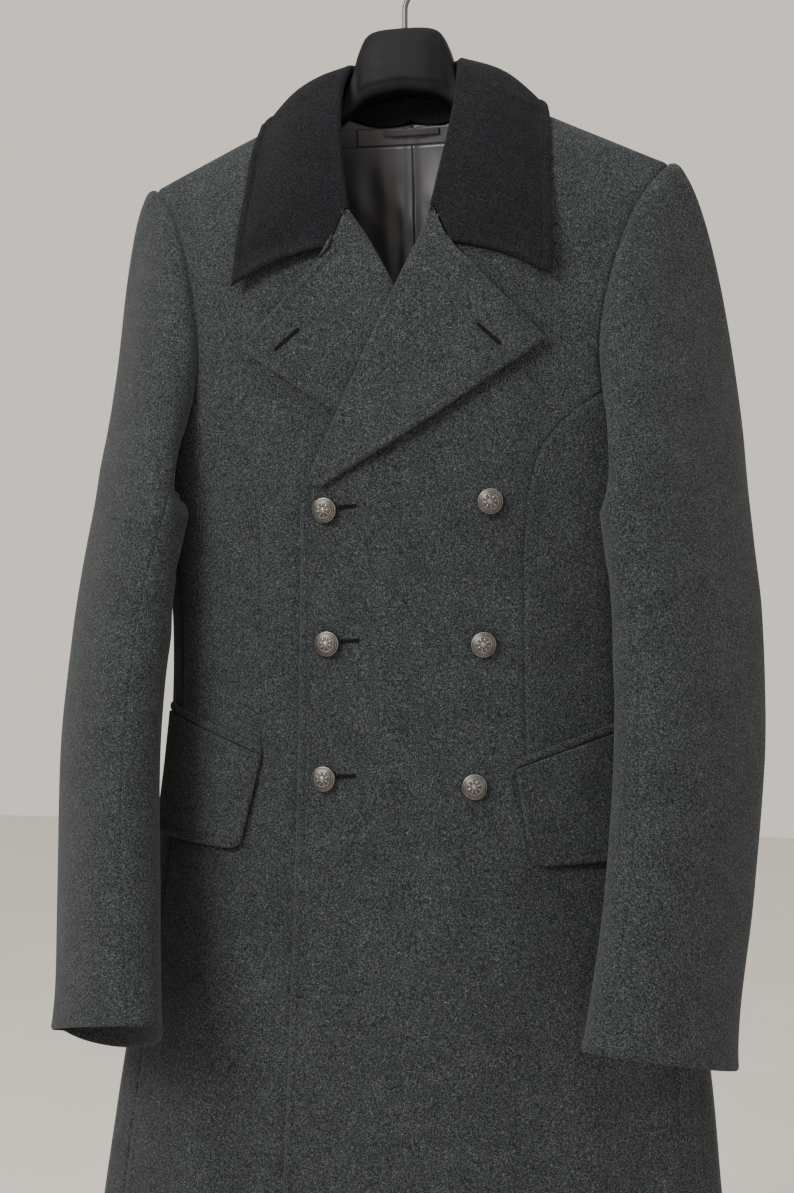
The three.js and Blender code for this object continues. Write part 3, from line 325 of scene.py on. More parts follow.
def hermite(a, lead, b, land, t):
    """A smooth way from a to b that leaves along lead and arrives along land."""
    start = a * (2 * t**3 - 3 * t**2 + 1) + lead * (t**3 - 2 * t**2 + t)
    return start + b * (3 * t**2 - 2 * t**3) + land * (t**3 - t**2)


def run_of(points):
    """Distances along a line of points."""
    return np.concatenate([[0], np.cumsum(np.linalg.norm(np.diff(points, axis=0), axis=1))])


def between(places, run, rows):
    """Rows of numbers, read at places between their own."""
    return np.stack([np.interp(places, run, column) for column in rows.T], -1)


def read(table, key, at):
    """Every column of a table at places between its rows, on a smooth curve."""
    order = np.argsort(table[key])
    keys = table[key][order]
    last = len(keys) - 1
    at = np.clip(np.asarray(at, float), keys[0], keys[-1])
    i = np.clip(np.searchsorted(keys, at, side="left") - 1, 0, last - 1)
    width = keys[i + 1] - keys[i]
    t = (at - keys[i]) / width
    before = np.maximum(np.arange(last + 1) - 1, 0)
    after = np.minimum(np.arange(last + 1) + 1, last)
    found = {}
    for name, column in table.items():
        values = column[order]
        slopes = (values[after] - values[before]) / (keys[after] - keys[before])
        found[name] = hermite(values[i], slopes[i] * width, values[i + 1], slopes[i + 1] * width, t)
    return found


# Body surface
def ridge_z(x):
    return RIDGE_AT_CENTRE_Z - SHOULDER_SLOPE * np.abs(x)


def level_of(share):
    return UNDERARM_Z + np.asarray(share, float) * UPPER_SPAN


def share_of(level):
    return np.clip((np.asarray(level, float) - UNDERARM_Z) / UPPER_SPAN, 0, 1)


def level_at(x, z):
    return np.where(z <= UNDERARM_Z, z, level_of((z - UNDERARM_Z) / (ridge_z(x) - UNDERARM_Z)))


def flute_depth(turn, z):
    depth = 0
    for centre, width, deep in FLUTES:
        off = (np.degrees(turn) - centre + 540) % 360 - 180
        depth = depth + deep * np.exp(-((off / width) ** 2))
    return depth * ease(z, FLUTE_TOP_Z, HEM_Z)


def overlap_lift(x, z):
    across = 1 - ease(x, *OVERLAP_ENDS)
    high = OVERLAP["high"] * ease(z, OVERLAP["top"], OVERLAP["full"])
    return across * mix(high, OVERLAP["low"], ease(z, OVERLAP["bottom"], OVERLAP["low_z"]))


def body_point(turn, level, over=False):
    turn, level = np.broadcast_arrays(np.asarray(turn, float), np.asarray(level, float))
    ring = read(BODY, "z", np.minimum(level, UNDERARM_Z))
    s, c = np.sin(turn), np.cos(turn)
    x = ring["shift"] + ring["half"] * s
    front = c >= 0
    depth = np.where(front, -ring["front"] * c, ring["back"] * np.maximum(-c, 0) ** BACK_FLATNESS)
    share = share_of(level)
    z = np.where(level <= UNDERARM_Z, level, mix(UNDERARM_Z, ridge_z(x), share))
    power = np.where(front, ROUND_OVER["front"], ROUND_OVER["back"])
    rounding = np.sqrt(np.maximum(0, 1 - share**power))
    swell = flute_depth(turn, z)
    if over:
        swell = swell + np.where(c > 0, overlap_lift(x, z), 0)
    apart = share * np.where(front, -SEAM_GAP, SEAM_GAP) / 2
    return stack(x + swell * s * rounding, depth * rounding - swell * c + apart, z)


def body_normal(turn, level, over=False):
    turn, level = np.broadcast_arrays(np.asarray(turn, float), np.asarray(level, float))
    step_turn, step_level = 0.002, 0.6
    along = body_point(turn + step_turn, level, over) - body_point(turn - step_turn, level, over)
    up = body_point(turn, level + step_level, over) - body_point(turn, level - step_level, over)
    normal = unit(np.cross(along, up))
    ridge = unit(stack(np.sign(np.sin(turn)) * SHOULDER_SLOPE, 0.0, 1.0))
    return np.where((share_of(level) >= 1)[..., None], ridge, normal)


def turn_at(x, level, back=False):
    ring = read(BODY, "z", np.minimum(level, UNDERARM_Z))
    turn = np.arcsin(np.clip((x - ring["shift"]) / ring["half"], -1, 1))
    return np.where(back, math.pi - turn, turn)


def on_body(x, z, over=False, out=0.0, back=False):
    x, z = np.asarray(x, float), np.asarray(z, float)
    level = level_at(x, z)
    turn = turn_at(x, level, back)
    out = np.asarray(out, float)[..., None]
    return body_point(turn, level, over) + body_normal(turn, level, over) * out


# Meshes
def wall_quads(keep):
    """Quads of a closed wall between two grids. keep says which cells are cloth."""
    cell_rows, cell_columns = keep.shape
    rows, columns = cell_rows + 1, cell_columns + 1

    def at(face, r, c):
        """The number of a grid point. Face 0 is the outer grid and face 1 the inner."""
        return (face * rows + r) * columns + c

    r, c = np.nonzero(keep)
    outer = np.stack([at(0, r, c), at(0, r, c + 1), at(0, r + 1, c + 1), at(0, r + 1, c)], 1)
    inner = np.stack([at(1, r, c), at(1, r + 1, c), at(1, r + 1, c + 1), at(1, r, c + 1)], 1)
    around = np.pad(keep, 1)
    rims = []
    sides = ((-1, 0, (0, 0), (0, 1)), (0, 1, (0, 1), (1, 1)), (1, 0, (1, 1), (1, 0)), (0, -1, (1, 0), (0, 0)))
    for down, right, a, b in sides:
        neighbour = around[1 + down : 1 + down + cell_rows, 1 + right : 1 + right + cell_columns]
        r, c = np.nonzero(keep & ~neighbour)
        first, second = (r + a[0], c + a[1]), (r + b[0], c + b[1])
        rims.append(np.stack([at(0, *second), at(0, *first), at(1, *first), at(1, *second)], 1))
    return outer, np.concatenate(rims), inner


def mesh_object(name, points, faces, materials, slots=None):
    mesh = bpy.data.meshes.new(name)
    mesh.from_pydata((np.asarray(points) * MM).tolist(), [], [list(map(int, face)) for face in faces])
    for material in materials:
        mesh.materials.append(material)
    if slots is not None:
        mesh.polygons.foreach_set("material_index", np.asarray(slots, np.int32))
    mesh.polygons.foreach_set("use_smooth", np.ones(len(mesh.polygons), bool))
    mesh.update()
    obj = bpy.data.objects.new(name, mesh)
    bpy.context.scene.collection.objects.link(obj)
    return obj


def outward(points, quads):
    """The quads turned so that they face out of the closed shape."""
    a, b, c, d = (points[quads[:, i]] for i in range(4))
    volume = dot(a, np.cross(b, c)).sum() + dot(a, np.cross(c, d)).sum()
    return quads if volume > 0 else quads[:, ::-1]


def wall_object(name, outer, inner, face_material, inner_material=None, keep=None, lined=None):
    """A wall between two grids. lined says which rows of cells show the inner material inside."""
    if keep is None:
        keep = np.ones((outer.shape[0] - 1, outer.shape[1] - 1), bool)
    parts = wall_quads(keep)
    quads = np.concatenate(parts)
    inside = np.ones(keep.shape[0], bool) if lined is None else lined
    inside = inside[np.nonzero(keep)[0]].astype(int)
    slots = np.concatenate([np.zeros(len(parts[0]) + len(parts[1]), int), inside])
    points = np.concatenate([outer.reshape(-1, 3), inner.reshape(-1, 3)])
    used, numbers = np.unique(quads, return_inverse=True)
    quads = numbers.reshape(quads.shape)
    points = points[used]
    materials = [face_material, inner_material or face_material]
    return mesh_object(name, points, outward(points, quads), materials, slots)


def ring_quads(count, sides):
    """Point numbers of closed rings, and the quads between each ring and the next."""
    number = np.arange(count * sides).reshape(count, sides)
    ahead = np.roll(number, -1, axis=1)
    return number, np.stack([number[:-1], ahead[:-1], ahead[1:], number[1:]], -1).reshape(-1, 4)


def grid_normals(grid):
    return unit(np.cross(np.gradient(grid, axis=1), np.gradient(grid, axis=0)))


def edge_distance(points, line):
    """How far each point lies from a line of points."""
    flat = points.reshape(-1, 3)
    a, b = line[:-1], line[1:]
    way = b - a
    keep = (way**2).sum(1) > 1e-9
    a, way = a[keep], way[keep]
    nearest = np.full(len(flat), 1e9)
    for start, step in zip(a, way):
        t = np.clip(((flat - start) @ step) / (step @ step), 0, 1)
        off = flat - start - t[:, None] * step
        nearest = np.minimum(nearest, (off**2).sum(1))
    return np.sqrt(nearest).reshape(points.shape[:-1])


# The form of the cloth beside its borders, out from the panel, by the distance from the border
def seam_form(d):
    return -0.8 * bump(d, 0, 1.1) - 0.2 * bump(d, 0, 3.4) + 0.25 * bump(d, 5, 2.6)


def edge_form(d):
    return -0.95 * bump(d, 0, 0.75) + 0.5 * bump(d, 3.6, 2.3) - 0.6 * bump(d, TOPSTITCH, 0.95)


def hem_form(d):
    return -0.95 * bump(d, 0, 0.9) + 0.35 * bump(d, 4, 3)


def thinning(d):
    return 0.75 * bump(d, 0, 0.9)


def ripple(points, size=1.0):
    """Slow unevenness of hung cloth."""
    x, y, z = points[..., 0] / size, points[..., 1] / size, points[..., 2] / size
    wave = np.sin(x / 31 + z / 87 + 1.3) * np.sin(z / 53 - x / 190 + 0.4)
    wave = wave + 0.6 * np.sin(x / 17 - z / 140 + y / 40) * np.sin(z / 37 + 2.1)
    return wave + 0.35 * np.sin(x / 9 + z / 61 + y / 13) * np.sin(z / 23 - 0.7)


# How strong the ripple is on each piece
RIPPLE = {"body": 0.3, "sleeve": 0.35, "collar": 0.35, "lapel": 0.3, "flap": 0.25}


# Sewing
def contours(grid, field, value):
    """Chains of points, each a place and a normal, where a grid's field passes a value."""
    rows, columns = field.shape
    ids = np.arange(rows * columns).reshape(rows, columns)
    data = np.concatenate([grid, grid_normals(grid)], -1).reshape(-1, 6)
    off = field.ravel() - value
    above = field > value
    count = above[:-1, :-1].astype(int) + above[1:, :-1] + above[:-1, 1:] + above[1:, 1:]
    links = {}
    for r, c in zip(*np.nonzero((count > 0) & (count < 4))):
        a, b, d, e = (int(ids[r, c]), int(ids[r, c + 1]), int(ids[r + 1, c + 1]), int(ids[r + 1, c]))
        for corners in ((a, b, d), (a, d, e)):
            cut = [
                tuple(sorted((corners[i], corners[(i + 1) % 3])))
                for i in range(3)
                if (off[corners[i]] > 0) != (off[corners[(i + 1) % 3]] > 0)
            ]
            if len(cut) == 2:
                links.setdefault(cut[0], []).append(cut[1])
                links.setdefault(cut[1], []).append(cut[0])
    chains, seen = [], set()
    for start in sorted(links, key=lambda key: len(links[key])):
        if start in seen:
            continue
        chain, key = [], start
        while key is not None:
            seen.add(key)
            chain.append(key)
            key = next((other for other in links[key] if other not in seen), None)
        a, b = np.array(chain).T
        t = (off[a] / (off[a] - off[b]))[:, None]
        chains.append(mix(data[a], data[b], t))
    return chains


def along_chain(chain, places):
    """Places and normals at distances along a chain."""
    return between(places, run_of(chain[:, :3]), chain)


def chain_length(chain):
    return run_of(chain[:, :3])[-1]


def stitch_row(chains, sides=5):
    """Sunk-ended stitches along chains, as points and faces."""
    points, faces = [], []
    for chain in chains:
        total = chain_length(chain)
        count = int(total // STITCH["pitch"])
        if count < 3:
            continue
        starts = (np.arange(count) + 0.5) * total / count
        spans = [along_chain(chain, starts + t * STITCH["long"] / 2) for t in (-1, -0.6, 0, 0.6, 1)]
        way = unit(spans[-1][:, :3] - spans[0][:, :3])
        heights = (-0.3, STITCH["proud"] * 0.6, STITCH["proud"], STITCH["proud"] * 0.6, -0.3)
        widths = (0.5, 0.9, 1, 0.9, 0.5)
        for ring, height, width in zip(spans, heights, widths):
            normal = unit(ring[:, 3:])
            side = unit(np.cross(way, normal))
            for i in range(sides):
                angle = 2 * math.pi * i / sides
                lift = height + STITCH["thick"] * width * math.sin(angle)
                aside = 1.2 * STITCH["thick"] * width * math.cos(angle)
                points.append(ring[:, :3] + normal * lift + side * aside)
        base = sum(len(block) for block in points[: -5 * sides])
        number = base + (np.arange(5 * sides) * count)[:, None] + np.arange(count)
        for r in range(4):
            for i in range(sides):
                j = (i + 1) % sides
                at = (r * sides + i, r * sides + j, (r + 1) * sides + j, (r + 1) * sides + i)
                faces.append(np.stack([number[k] for k in at], 1))
    return np.concatenate(points), np.concatenate(faces)


def sew(name, chains, material):
    points, faces = stitch_row(chains)
    obj = mesh_object(name, points, faces, [material])
    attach(obj, "root")
    return obj


# Materials
class Nodes:
    """A short way to build a material's nodes."""

    def __init__(self, name):
        self.material = bpy.data.materials.new(name)
        self.material.use_nodes = True
        self.tree = self.material.node_tree
        self.shader = self.tree.nodes["Principled BSDF"]
        self.place = self.tree.nodes.new("ShaderNodeTexCoord").outputs["Object"]

    def add(self, kind, links=None, **values):
        node = self.tree.nodes.new("ShaderNode" + kind)
        for name, value in values.items():
            setattr(node, name, value)
        for name, value in (links or {}).items():
            self.set(node.inputs[name], value)
        return node

    def set(self, socket, value):
        if isinstance(value, bpy.types.NodeSocket):
            self.tree.links.new(value, socket)
        else:
            socket.default_value = value

    def noise(self, scale, detail=2.0, roughness=0.55, place=None, distortion=0.0):
        links = {
            "Vector": place or self.place,
            "Scale": scale,
            "Detail": detail,
            "Roughness": roughness,
            "Distortion": distortion,
        }
        return self.add("TexNoise", links).outputs["Fac"]

    def stretched(self, x, y, z, turn=0.0):
        links = {"Vector": self.place, "Scale": (x, y, z), "Rotation": (0, turn, 0)}
        return self.add("Mapping", links).outputs["Vector"]

    def ramp(self, value, *stops):
        ramp = self.add("ValToRGB", {"Fac": value})
        elements = ramp.color_ramp.elements
        while len(elements) < len(stops):
            elements.new(0.5)
        for element, (place, color) in zip(elements, stops):
            element.position = place
            element.color = (*color, 1)
        return ramp.outputs["Color"]

    def blend(self, factor, a, b, how="MIX"):
        node = self.add("Mix", data_type="RGBA", blend_type=how)
        self.set(node.inputs[0], factor)
        self.set(node.inputs[6], a)
        self.set(node.inputs[7], b)
        return node.outputs[2]

    def sum(self, a, b, weight=1.0):
        return self.add("Math", {0: b, 1: weight, 2: a}, operation="MULTIPLY_ADD").outputs[0]

    def relief(self, height, distance, strength=1.0):
        links = {"Height": height, "Distance": distance, "Strength": strength}
        self.set(self.shader.inputs["Normal"], self.add("Bump", links).outputs["Normal"])

    def finish(self, **values):
        for name, value in values.items():
            self.set(self.shader.inputs[name.replace("_", " ")], value)
        return self.material


def gray(value, warm=0.0):
    return (value * (1 + warm), value, value * (1 - warm))


def wool(name, dark, middle, light, fleck, sheen, fuzz):
    """Milled wool: heathered fibres of three shades, scattered light hairs and a soft nap."""
    n = Nodes(name)
    heather = n.noise(820, 4, 0.74)
    fibres = n.noise(1, 3, 0.6, n.stretched(1500, 1500, 420, 0.5), 0.4)
    cross = n.noise(1, 3, 0.6, n.stretched(420, 1500, 1500, 0.6), 0.4)
    cloud = n.noise(38, 3, 0.6)
    color = n.ramp(heather, (0.36, dark), (0.5, middle), (0.63, light))
    longest = n.add("Math", {0: fibres, 1: cross}, operation="MAXIMUM").outputs[0]
    hairs = n.ramp(longest, (0.6, gray(0)), (0.74, gray(1)))
    color = n.blend(hairs, color, (*fleck, 1))
    shade = n.ramp(cloud, (0.3, gray(0.86)), (0.7, gray(1.1)))
    color = n.blend(1.0, color, shade, "MULTIPLY")
    nap = n.sum(n.sum(n.noise(950, 5, 0.7), fibres, 0.8), cross, 0.8)
    n.relief(nap, fuzz, 0.85)
    return n.finish(
        Base_Color=color,
        Roughness=0.95,
        Specular_IOR_Level=0.1,
        Sheen_Weight=sheen,
        Sheen_Roughness=0.45,
        Sheen_Tint=(0.72, 0.78, 0.8, 1),
    )


def satin(name):
    """Lining: close fine ribs that glint along the folds."""
    n = Nodes(name)
    ribs = n.noise(1, 2, 0.5, n.stretched(900, 900, 60))
    cloud = n.noise(24, 2, 0.5)
    dark, light = (0.017, 0.0165, 0.0198), (0.031, 0.0304, 0.036)
    color = n.ramp(n.sum(cloud, ribs, 0.25), (0.35, dark), (0.75, light))
    n.relief(n.sum(ribs, n.noise(1600, 2), 0.5), 0.00012, 0.5)
    rough = n.ramp(ribs, (0.3, gray(0.34)), (0.7, gray(0.46)))
    return n.finish(Base_Color=color, Roughness=rough, Specular_IOR_Level=0.55, Sheen_Weight=0.1)


def tape(name):
    n = Nodes(name)
    weaving = {"Vector": n.place, "Scale": 260.0, "Distortion": 1.5, "Detail": 2.0}
    weave = n.add("TexWave", weaving).outputs["Fac"]
    color = n.ramp(weave, (0.2, gray(0.012)), (0.8, gray(0.03)))
    n.relief(weave, 0.0002, 0.7)
    return n.finish(Base_Color=color, Roughness=0.7, Sheen_Weight=0.2)


def thread(name, shade):
    n = Nodes(name)
    twist = n.noise(2600, 3, 0.7)
    color = n.ramp(twist, (0.3, gray(shade * 0.6, -0.04)), (0.7, gray(shade, -0.04)))
    n.relief(twist, 0.0001, 0.6)
    return n.finish(Base_Color=color, Roughness=0.9, Specular_IOR_Level=0.15, Sheen_Weight=0.05)


def pewter(name):
    """Old grey metal, dark in its hollows and worn bright on top."""
    n = Nodes(name)
    wear = n.add("Attribute", attribute_name="wear").outputs["Fac"]
    scratch = n.noise(1800, 4, 0.7)
    stain = n.noise(260, 4, 0.65)
    amount = n.sum(n.sum(wear, stain, 0.35), scratch, 0.18)
    hollow, middle, worn = (0.018, 0.0162, 0.0145), (0.068, 0.065, 0.06), (0.235, 0.226, 0.21)
    color = n.ramp(amount, (0.3, hollow), (0.62, middle), (1.0, worn))
    rough = n.ramp(amount, (0.3, gray(0.62)), (1.0, gray(0.3)))
    n.relief(n.sum(scratch, stain, 0.6), 0.00008, 0.5)
    return n.finish(Base_Color=color, Roughness=rough, Metallic=1.0)


def plastic(name):
    """Moulded plastic with a fine satin grain and faint scuffs."""
    n = Nodes(name)
    grain = n.noise(1500, 3, 0.6)
    scuff = n.noise(1, 4, 0.65, n.stretched(70, 70, 260, 0.3))
    color = n.ramp(scuff, (0.4, (0.0045, 0.0045, 0.0055)), (0.75, (0.008, 0.008, 0.0098)))
    rough = n.ramp(n.sum(scuff, grain, 0.2), (0.4, gray(0.52)), (0.85, gray(0.66)))
    n.relief(grain, 0.00006, 0.5)
    return n.finish(Base_Color=color, Roughness=rough, Specular_IOR_Level=0.13)


def dark_steel(name):
    n = Nodes(name)
    drawn = n.noise(1, 3, 0.6, n.stretched(1800, 1800, 120))
    color = n.ramp(drawn, (0.3, gray(0.07)), (0.7, gray(0.13)))
    rough = n.ramp(drawn, (0.3, gray(0.3)), (0.7, gray(0.42)))
    n.relief(drawn, 0.00005, 0.4)
    return n.finish(Base_Color=color, Roughness=rough, Metallic=1.0)


def matt_floor(name):
    n = Nodes(name)
    color = n.ramp(n.noise(3, 4, 0.6), (0.3, (0.7, 0.67, 0.63)), (0.7, (0.76, 0.73, 0.69)))
    n.relief(n.noise(180, 3), 0.001, 0.3)
    return n.finish(Base_Color=color, Roughness=0.85)


WOOL = wool(
    "coat_wool",
    dark=(0.0026, 0.0034, 0.0044),
    middle=(0.0162, 0.0189, 0.0215),
    light=(0.058, 0.0645, 0.0695),
    fleck=(0.135, 0.14, 0.138),
    sheen=0.1,
    fuzz=0.00055,
)
COLLAR_WOOL = wool(
    "collar_wool",
    dark=(0.0018, 0.002, 0.0028),
    middle=(0.0062, 0.0066, 0.0084),
    light=(0.0165, 0.0175, 0.021),
    fleck=(0.036, 0.037, 0.043),
    sheen=0.04,
    fuzz=0.0007,
)
SATIN = satin("lining_satin")
TAPE = tape("loop_tape")
THREAD = thread("grey_thread", 0.028)
COLLAR_THREAD = thread("collar_thread", 0.011)
# Near-black buttonhole thread: its tone is painted shade, standing in for the dark slit between the purl rows
HOLE_THREAD_SLIT_SHADE = thread("buttonhole_thread_slit_shade", 0.0035)
PEWTER = pewter("old_pewter")
PLASTIC = plastic("black_plastic")
STEEL = dark_steel("dark_steel")

sewn = {}


def dress(obj, node):
    """The piece rides on the coat and stands for a node of the frame."""
    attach(obj, "root")
    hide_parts(node)


def side_name(side):
    return "left" if side > 0 else "right"


def faces_of(flat, normal, out, thick):
    """Both faces of a cloth: one out from a grid by a height, the other a thickness behind the grid."""
    return flat + normal * out[..., None], flat - normal * thick[..., None]


def cloth_piece(node, outer, inner, material, slot, inner_material=None, keep=None, lined=None, **more):
    """A wall of cloth as a piece of its own, with what the sewing needs to know of it."""
    obj = wall_object(f"cloth_{node}", outer, inner, material, inner_material, keep, lined)
    dress(obj, node)
    sewn[node] = {"piece": obj, "outer": outer, "keep": keep, **more}
    return sewn[node]


def pressed(flat, out, borders):
    """The cloth's height with the forms of its borders added, and how much it thins there."""
    thin = 0
    for form, line, amount in borders:
        distance = edge_distance(flat, line)
        out = out + form(distance) * amount
        thin = np.maximum(thin, thinning(distance))
    return out, thin


def cloth_size(outer, keep=None):
    """Width, length and area of a panel, in metres."""
    across = np.linalg.norm(np.diff(outer, axis=1), axis=2)
    along = np.linalg.norm(np.diff(outer, axis=0), axis=2)
    diagonals = outer[1:, 1:] - outer[:-1, :-1], outer[1:, :-1] - outer[:-1, 1:]
    cells = np.linalg.norm(np.cross(*diagonals), axis=2) / 2
    area = cells.sum() if keep is None else cells[keep].sum()
    return across.sum(1).max() * MM, along.sum(0).max() * MM, area * MM**2


# Body panels
def section_turns(levels, start, end, middle, over):
    """Turns across a section, dense at both borders, with their distances known on the cloth."""
    t = np.linspace(0, 1, 48)
    turns = start[:, None] + (end - start)[:, None] * t
    points = body_point(turns, levels[:, None], over)
    run = np.cumsum(np.linalg.norm(np.diff(points, axis=1), axis=2), axis=1)
    run = np.concatenate([np.zeros((len(levels), 1)), run], 1)
    length = run[:, -1]
    room = np.minimum(1, NEAR_SHARE * length / NEAR[-1])[:, None]
    left = NEAR[None] * room
    right = length[:, None] - left[:, ::-1]
    inside = np.linspace(0, 1, middle + 2)[1:-1]
    places = np.concatenate([left, mix(left[:, -1:], right[:, :1], inside), right], 1)
    return np.stack([np.interp(p, r, q) for p, r, q in zip(places, run, turns)])


# Sewn borders are only a hair apart
SEWN_GAP = 0.04
MEAN_HALF = 230
SEAM_TURN = SEWN_GAP / 2 / MEAN_HALF


def front_edge_x(edge, level):
    share = share_of(level)
    sign = 1 if edge is OVER_EDGE else -1
    ridge = ridge_z(read(edge, "z", level)["x"])
    z = np.where(level > UNDERARM_Z, mix(UNDERARM_Z, ridge, share), level)
    neck = sign * read(FRONT_NECK, "share", share)["x"]
    return np.where(share >= NECK_FOOT_SHARE, neck, read(edge, "z", z)["x"])


def seam_turns(level):
    share = share_of(level)
    armhole = turn_at(read(FRONT_ARMHOLE, "share", share)["x"], level)
    princess = turn_at(read(PRINCESS, "level", level)["x"], level)
    princess = np.where(share >= PRINCESS_TOP_SHARE, armhole, princess)
    side = np.where(share > 0, armhole, SIDE_SEAM_TURN - SEAM_TURN)
    return princess, side


def levels_between(bottom, top, step, dense_bottom=False):
    low = bottom + NEAR if dense_bottom else np.array([bottom])
    count = max(2, int((top - low[-1]) / step))
    return np.concatenate([low, np.linspace(low[-1], top, count + 1)[1:-1], [top]])


SHOULDER_SHARES = 1 - np.array([0.14, 0.115, 0.09, 0.07, 0.052, 0.036, 0.024, 0.015, 0.008, 0.003, 0])


def upper_levels(step):
    """From the underarm up, closer and closer towards the shoulder seam."""
    return np.concatenate([levels_between(UNDERARM_Z, level_of(0.855), step), level_of(SHOULDER_SHARES)])


def sided(side, start, end):
    """Both ends of a span of turns, mirrored for the wearer's right."""
    return (start, end) if side > 0 else (-end, -start)


def panel(node, levels, turns, over, borders, folds, keep=None):
    """A cloth panel on the body. folds and borders are functions of its grid."""
    flat = body_point(turns, levels[:, None], over)
    normal = body_normal(turns, levels[:, None], over)
    out = RIPPLE["body"] * ripple(flat) + folds(flat)
    out, thin = pressed(flat, out, borders(flat))
    outer, inner = faces_of(flat, normal, out, CLOTH - thin + 0.25 * np.minimum(out, 0))
    lined = levels[1:] > HEM_Z + FACING
    return cloth_piece(node, outer, inner, WOOL, "wool", SATIN, keep, lined, flat=flat)


def seams_round(grid):
    """A seam down both sides of a panel and along its top."""
    return tuple((seam_form, line, 1) for line in (grid[:, 0], grid[:, -1], grid[-1]))


# Soft folds: x and z at the top, x and z at the foot, half width, height
FRONT_FOLDS = (
    (150, -560, 165, -760, 16, -1.6),
    (178, -480, 186, -700, 12, 1.8),
    (60, -760, 52, -1290, 30, 1.3),
    (150, -800, 190, -1290, 24, 2.4),
    (-20, -620, -30, -1250, 26, -0.9),
    (112, -900, 128, -1290, 18, -2.0),
    (30, -500, 20, -700, 28, 0.8),
    (120, -330, 150, -430, 22, 1.4),
    (95, -240, 165, -330, 20, -1.1),
)
BACK_FOLDS = (
    (60, -420, 40, -640, 30, 1.6),
    (-80, -380, -60, -620, 26, 1.4),
    (130, -300, 110, -520, 24, -1.6),
    (-140, -320, -115, -540, 22, -1.4),
    (100, -760, 120, -1290, 26, 2.2),
    (-120, -740, -140, -1290, 28, 2.0),
    (20, -820, 26, -1290, 22, -1.6),
)
SHARED_HALF = OVERLAP_ENDS[1] - 30


def drape(points, folds, grows, fades, side=1):
    """The height of soft folds. Those of the overlap are shared, and side mirrors the others."""
    x, z = points[..., 0], points[..., 2]
    out = 0
    for x0, z0, x1, z1, half, high in folds:
        t = (z - z0) / (z1 - z0)
        shown = ease(t, *grows) * (1 - ease(t, *fades))
        out = out + high * shown * bump(x * (1 if x0 < SHARED_HALF else side), mix(x0, x1, t), half)
    return out


def front_drape(side):
    """Folds of a front. The upper one's edge rolls out, and the lower one gives way beside it."""

    def form(points):
        x, z = points[..., 0], points[..., 2]
        beside = x - read(OVER_EDGE, "z", np.minimum(z, BREAK_Z))["x"]
        roll = 1.5 * bump(beside, 4, 6) if side > 0 else -0.8 * bump(beside, -1, 11)
        soft = drape(points, FRONT_FOLDS, (-0.12, 0.3), (0.8, 1.15), side)
        return soft + (1 - ease(z, BREAK_Z - 60, BREAK_Z)) * roll

    return form


def back_drape(points):
    return drape(points, BACK_FOLDS, (-0.15, 0.3), (0.75, 1.15))


def build_front(side):
    over = side > 0
    edge = OVER_EDGE if over else UNDER_EDGE
    lower = levels_between(HEM_Z, POCKET_Z, 9, dense_bottom=True)
    middle = levels_between(POCKET_Z, UNDERARM_Z, 8)[1:-1]
    levels = np.concatenate([lower, middle, upper_levels(7)])
    rolled = (levels > BREAK_Z) & (share_of(levels) < NECK_FOOT_SHARE)
    trim = np.where(rolled, side * FRONT_TRIM, 0)
    first = side * turn_at(front_edge_x(edge, levels) + trim, levels)
    princess, side_turn = seam_turns(levels)
    seam = princess - SEAM_TURN
    spans = ((first, seam, 26), (seam, np.maximum(side_turn, princess), 12))
    sections = [section_turns(levels, *sided(side, a, b), count, over) for a, b, count in spans]
    seam_column = sections[0 if over else 1].shape[1] - 1
    if not over:
        sections.reverse()
    turns = np.concatenate([sections[0], sections[1][:, 1:]], 1)
    # The side front takes the place of the outer section above the pocket
    keep = np.ones((len(levels) - 1, turns.shape[1] - 1), bool)
    pocket_row = len(lower) - 1
    keep[pocket_row:, slice(seam_column, None) if over else slice(seam_column)] = False
    first_column, side_column = (0, -1) if over else (-1, 0)
    break_row = int(np.searchsorted(levels, BREAK_Z))

    def borders(grid):
        return (
            (hem_form, grid[0], 1),
            (edge_form, grid[: break_row + 1, first_column], 1),
            (seam_form, grid[pocket_row:, seam_column], 1),
            (seam_form, grid[: pocket_row + 1, side_column], 1),
            (seam_form, grid[-1], 0.8),
        )

    made = panel(f"front_{side_name(side)}", levels, turns, over, borders, front_drape(side), keep)
    made["edge"] = made["flat"][: break_row + 1, first_column]


def build_side_front(side):
    top = level_of(PRINCESS_TOP_SHARE - 0.008)
    levels = levels_between(POCKET_Z + SEAM_GAP, float(top), 7)
    princess, side_turn = seam_turns(levels)
    start = princess + SEAM_TURN
    end = np.maximum(side_turn, start + SEAM_TURN)
    turns = section_turns(levels, *sided(side, start, end), 10, side > 0)
    node = f"side_front_{side_name(side)}"
    panel(node, levels, turns, side > 0, seams_round, front_drape(side))


def back_borders(grid):
    return ((hem_form, grid[0], 1), *seams_round(grid))


def build_back(side):
    lower = levels_between(HEM_Z, UNDERARM_Z, 9, dense_bottom=True)[:-1]
    low_shares = np.array([0, 0.006, 0.015, 0.025, 0.035, 0.047, 0.06, 0.08, 0.1, 0.125, 0.15])
    upper = np.concatenate([level_of(low_shares), upper_levels(7)[1:]])
    levels = np.concatenate([lower, np.unique(np.round(upper, 3))])
    share = share_of(levels)
    start = np.radians(read(BACK_ARMHOLE, "share", share)["turn"]) + SEAM_TURN
    neck_share = np.clip((share - NAPE_SHARE) / (1 - NAPE_SHARE), 0, 1)
    neck = turn_at(NECK_HALF * np.sqrt(neck_share), levels, True)
    end = np.where(share > NAPE_SHARE, neck, math.pi) - SEAM_TURN
    turns = section_turns(levels, *sided(side, start, end), 26, False)
    panel(f"back_{side_name(side)}", levels, turns, False, back_borders, back_drape)


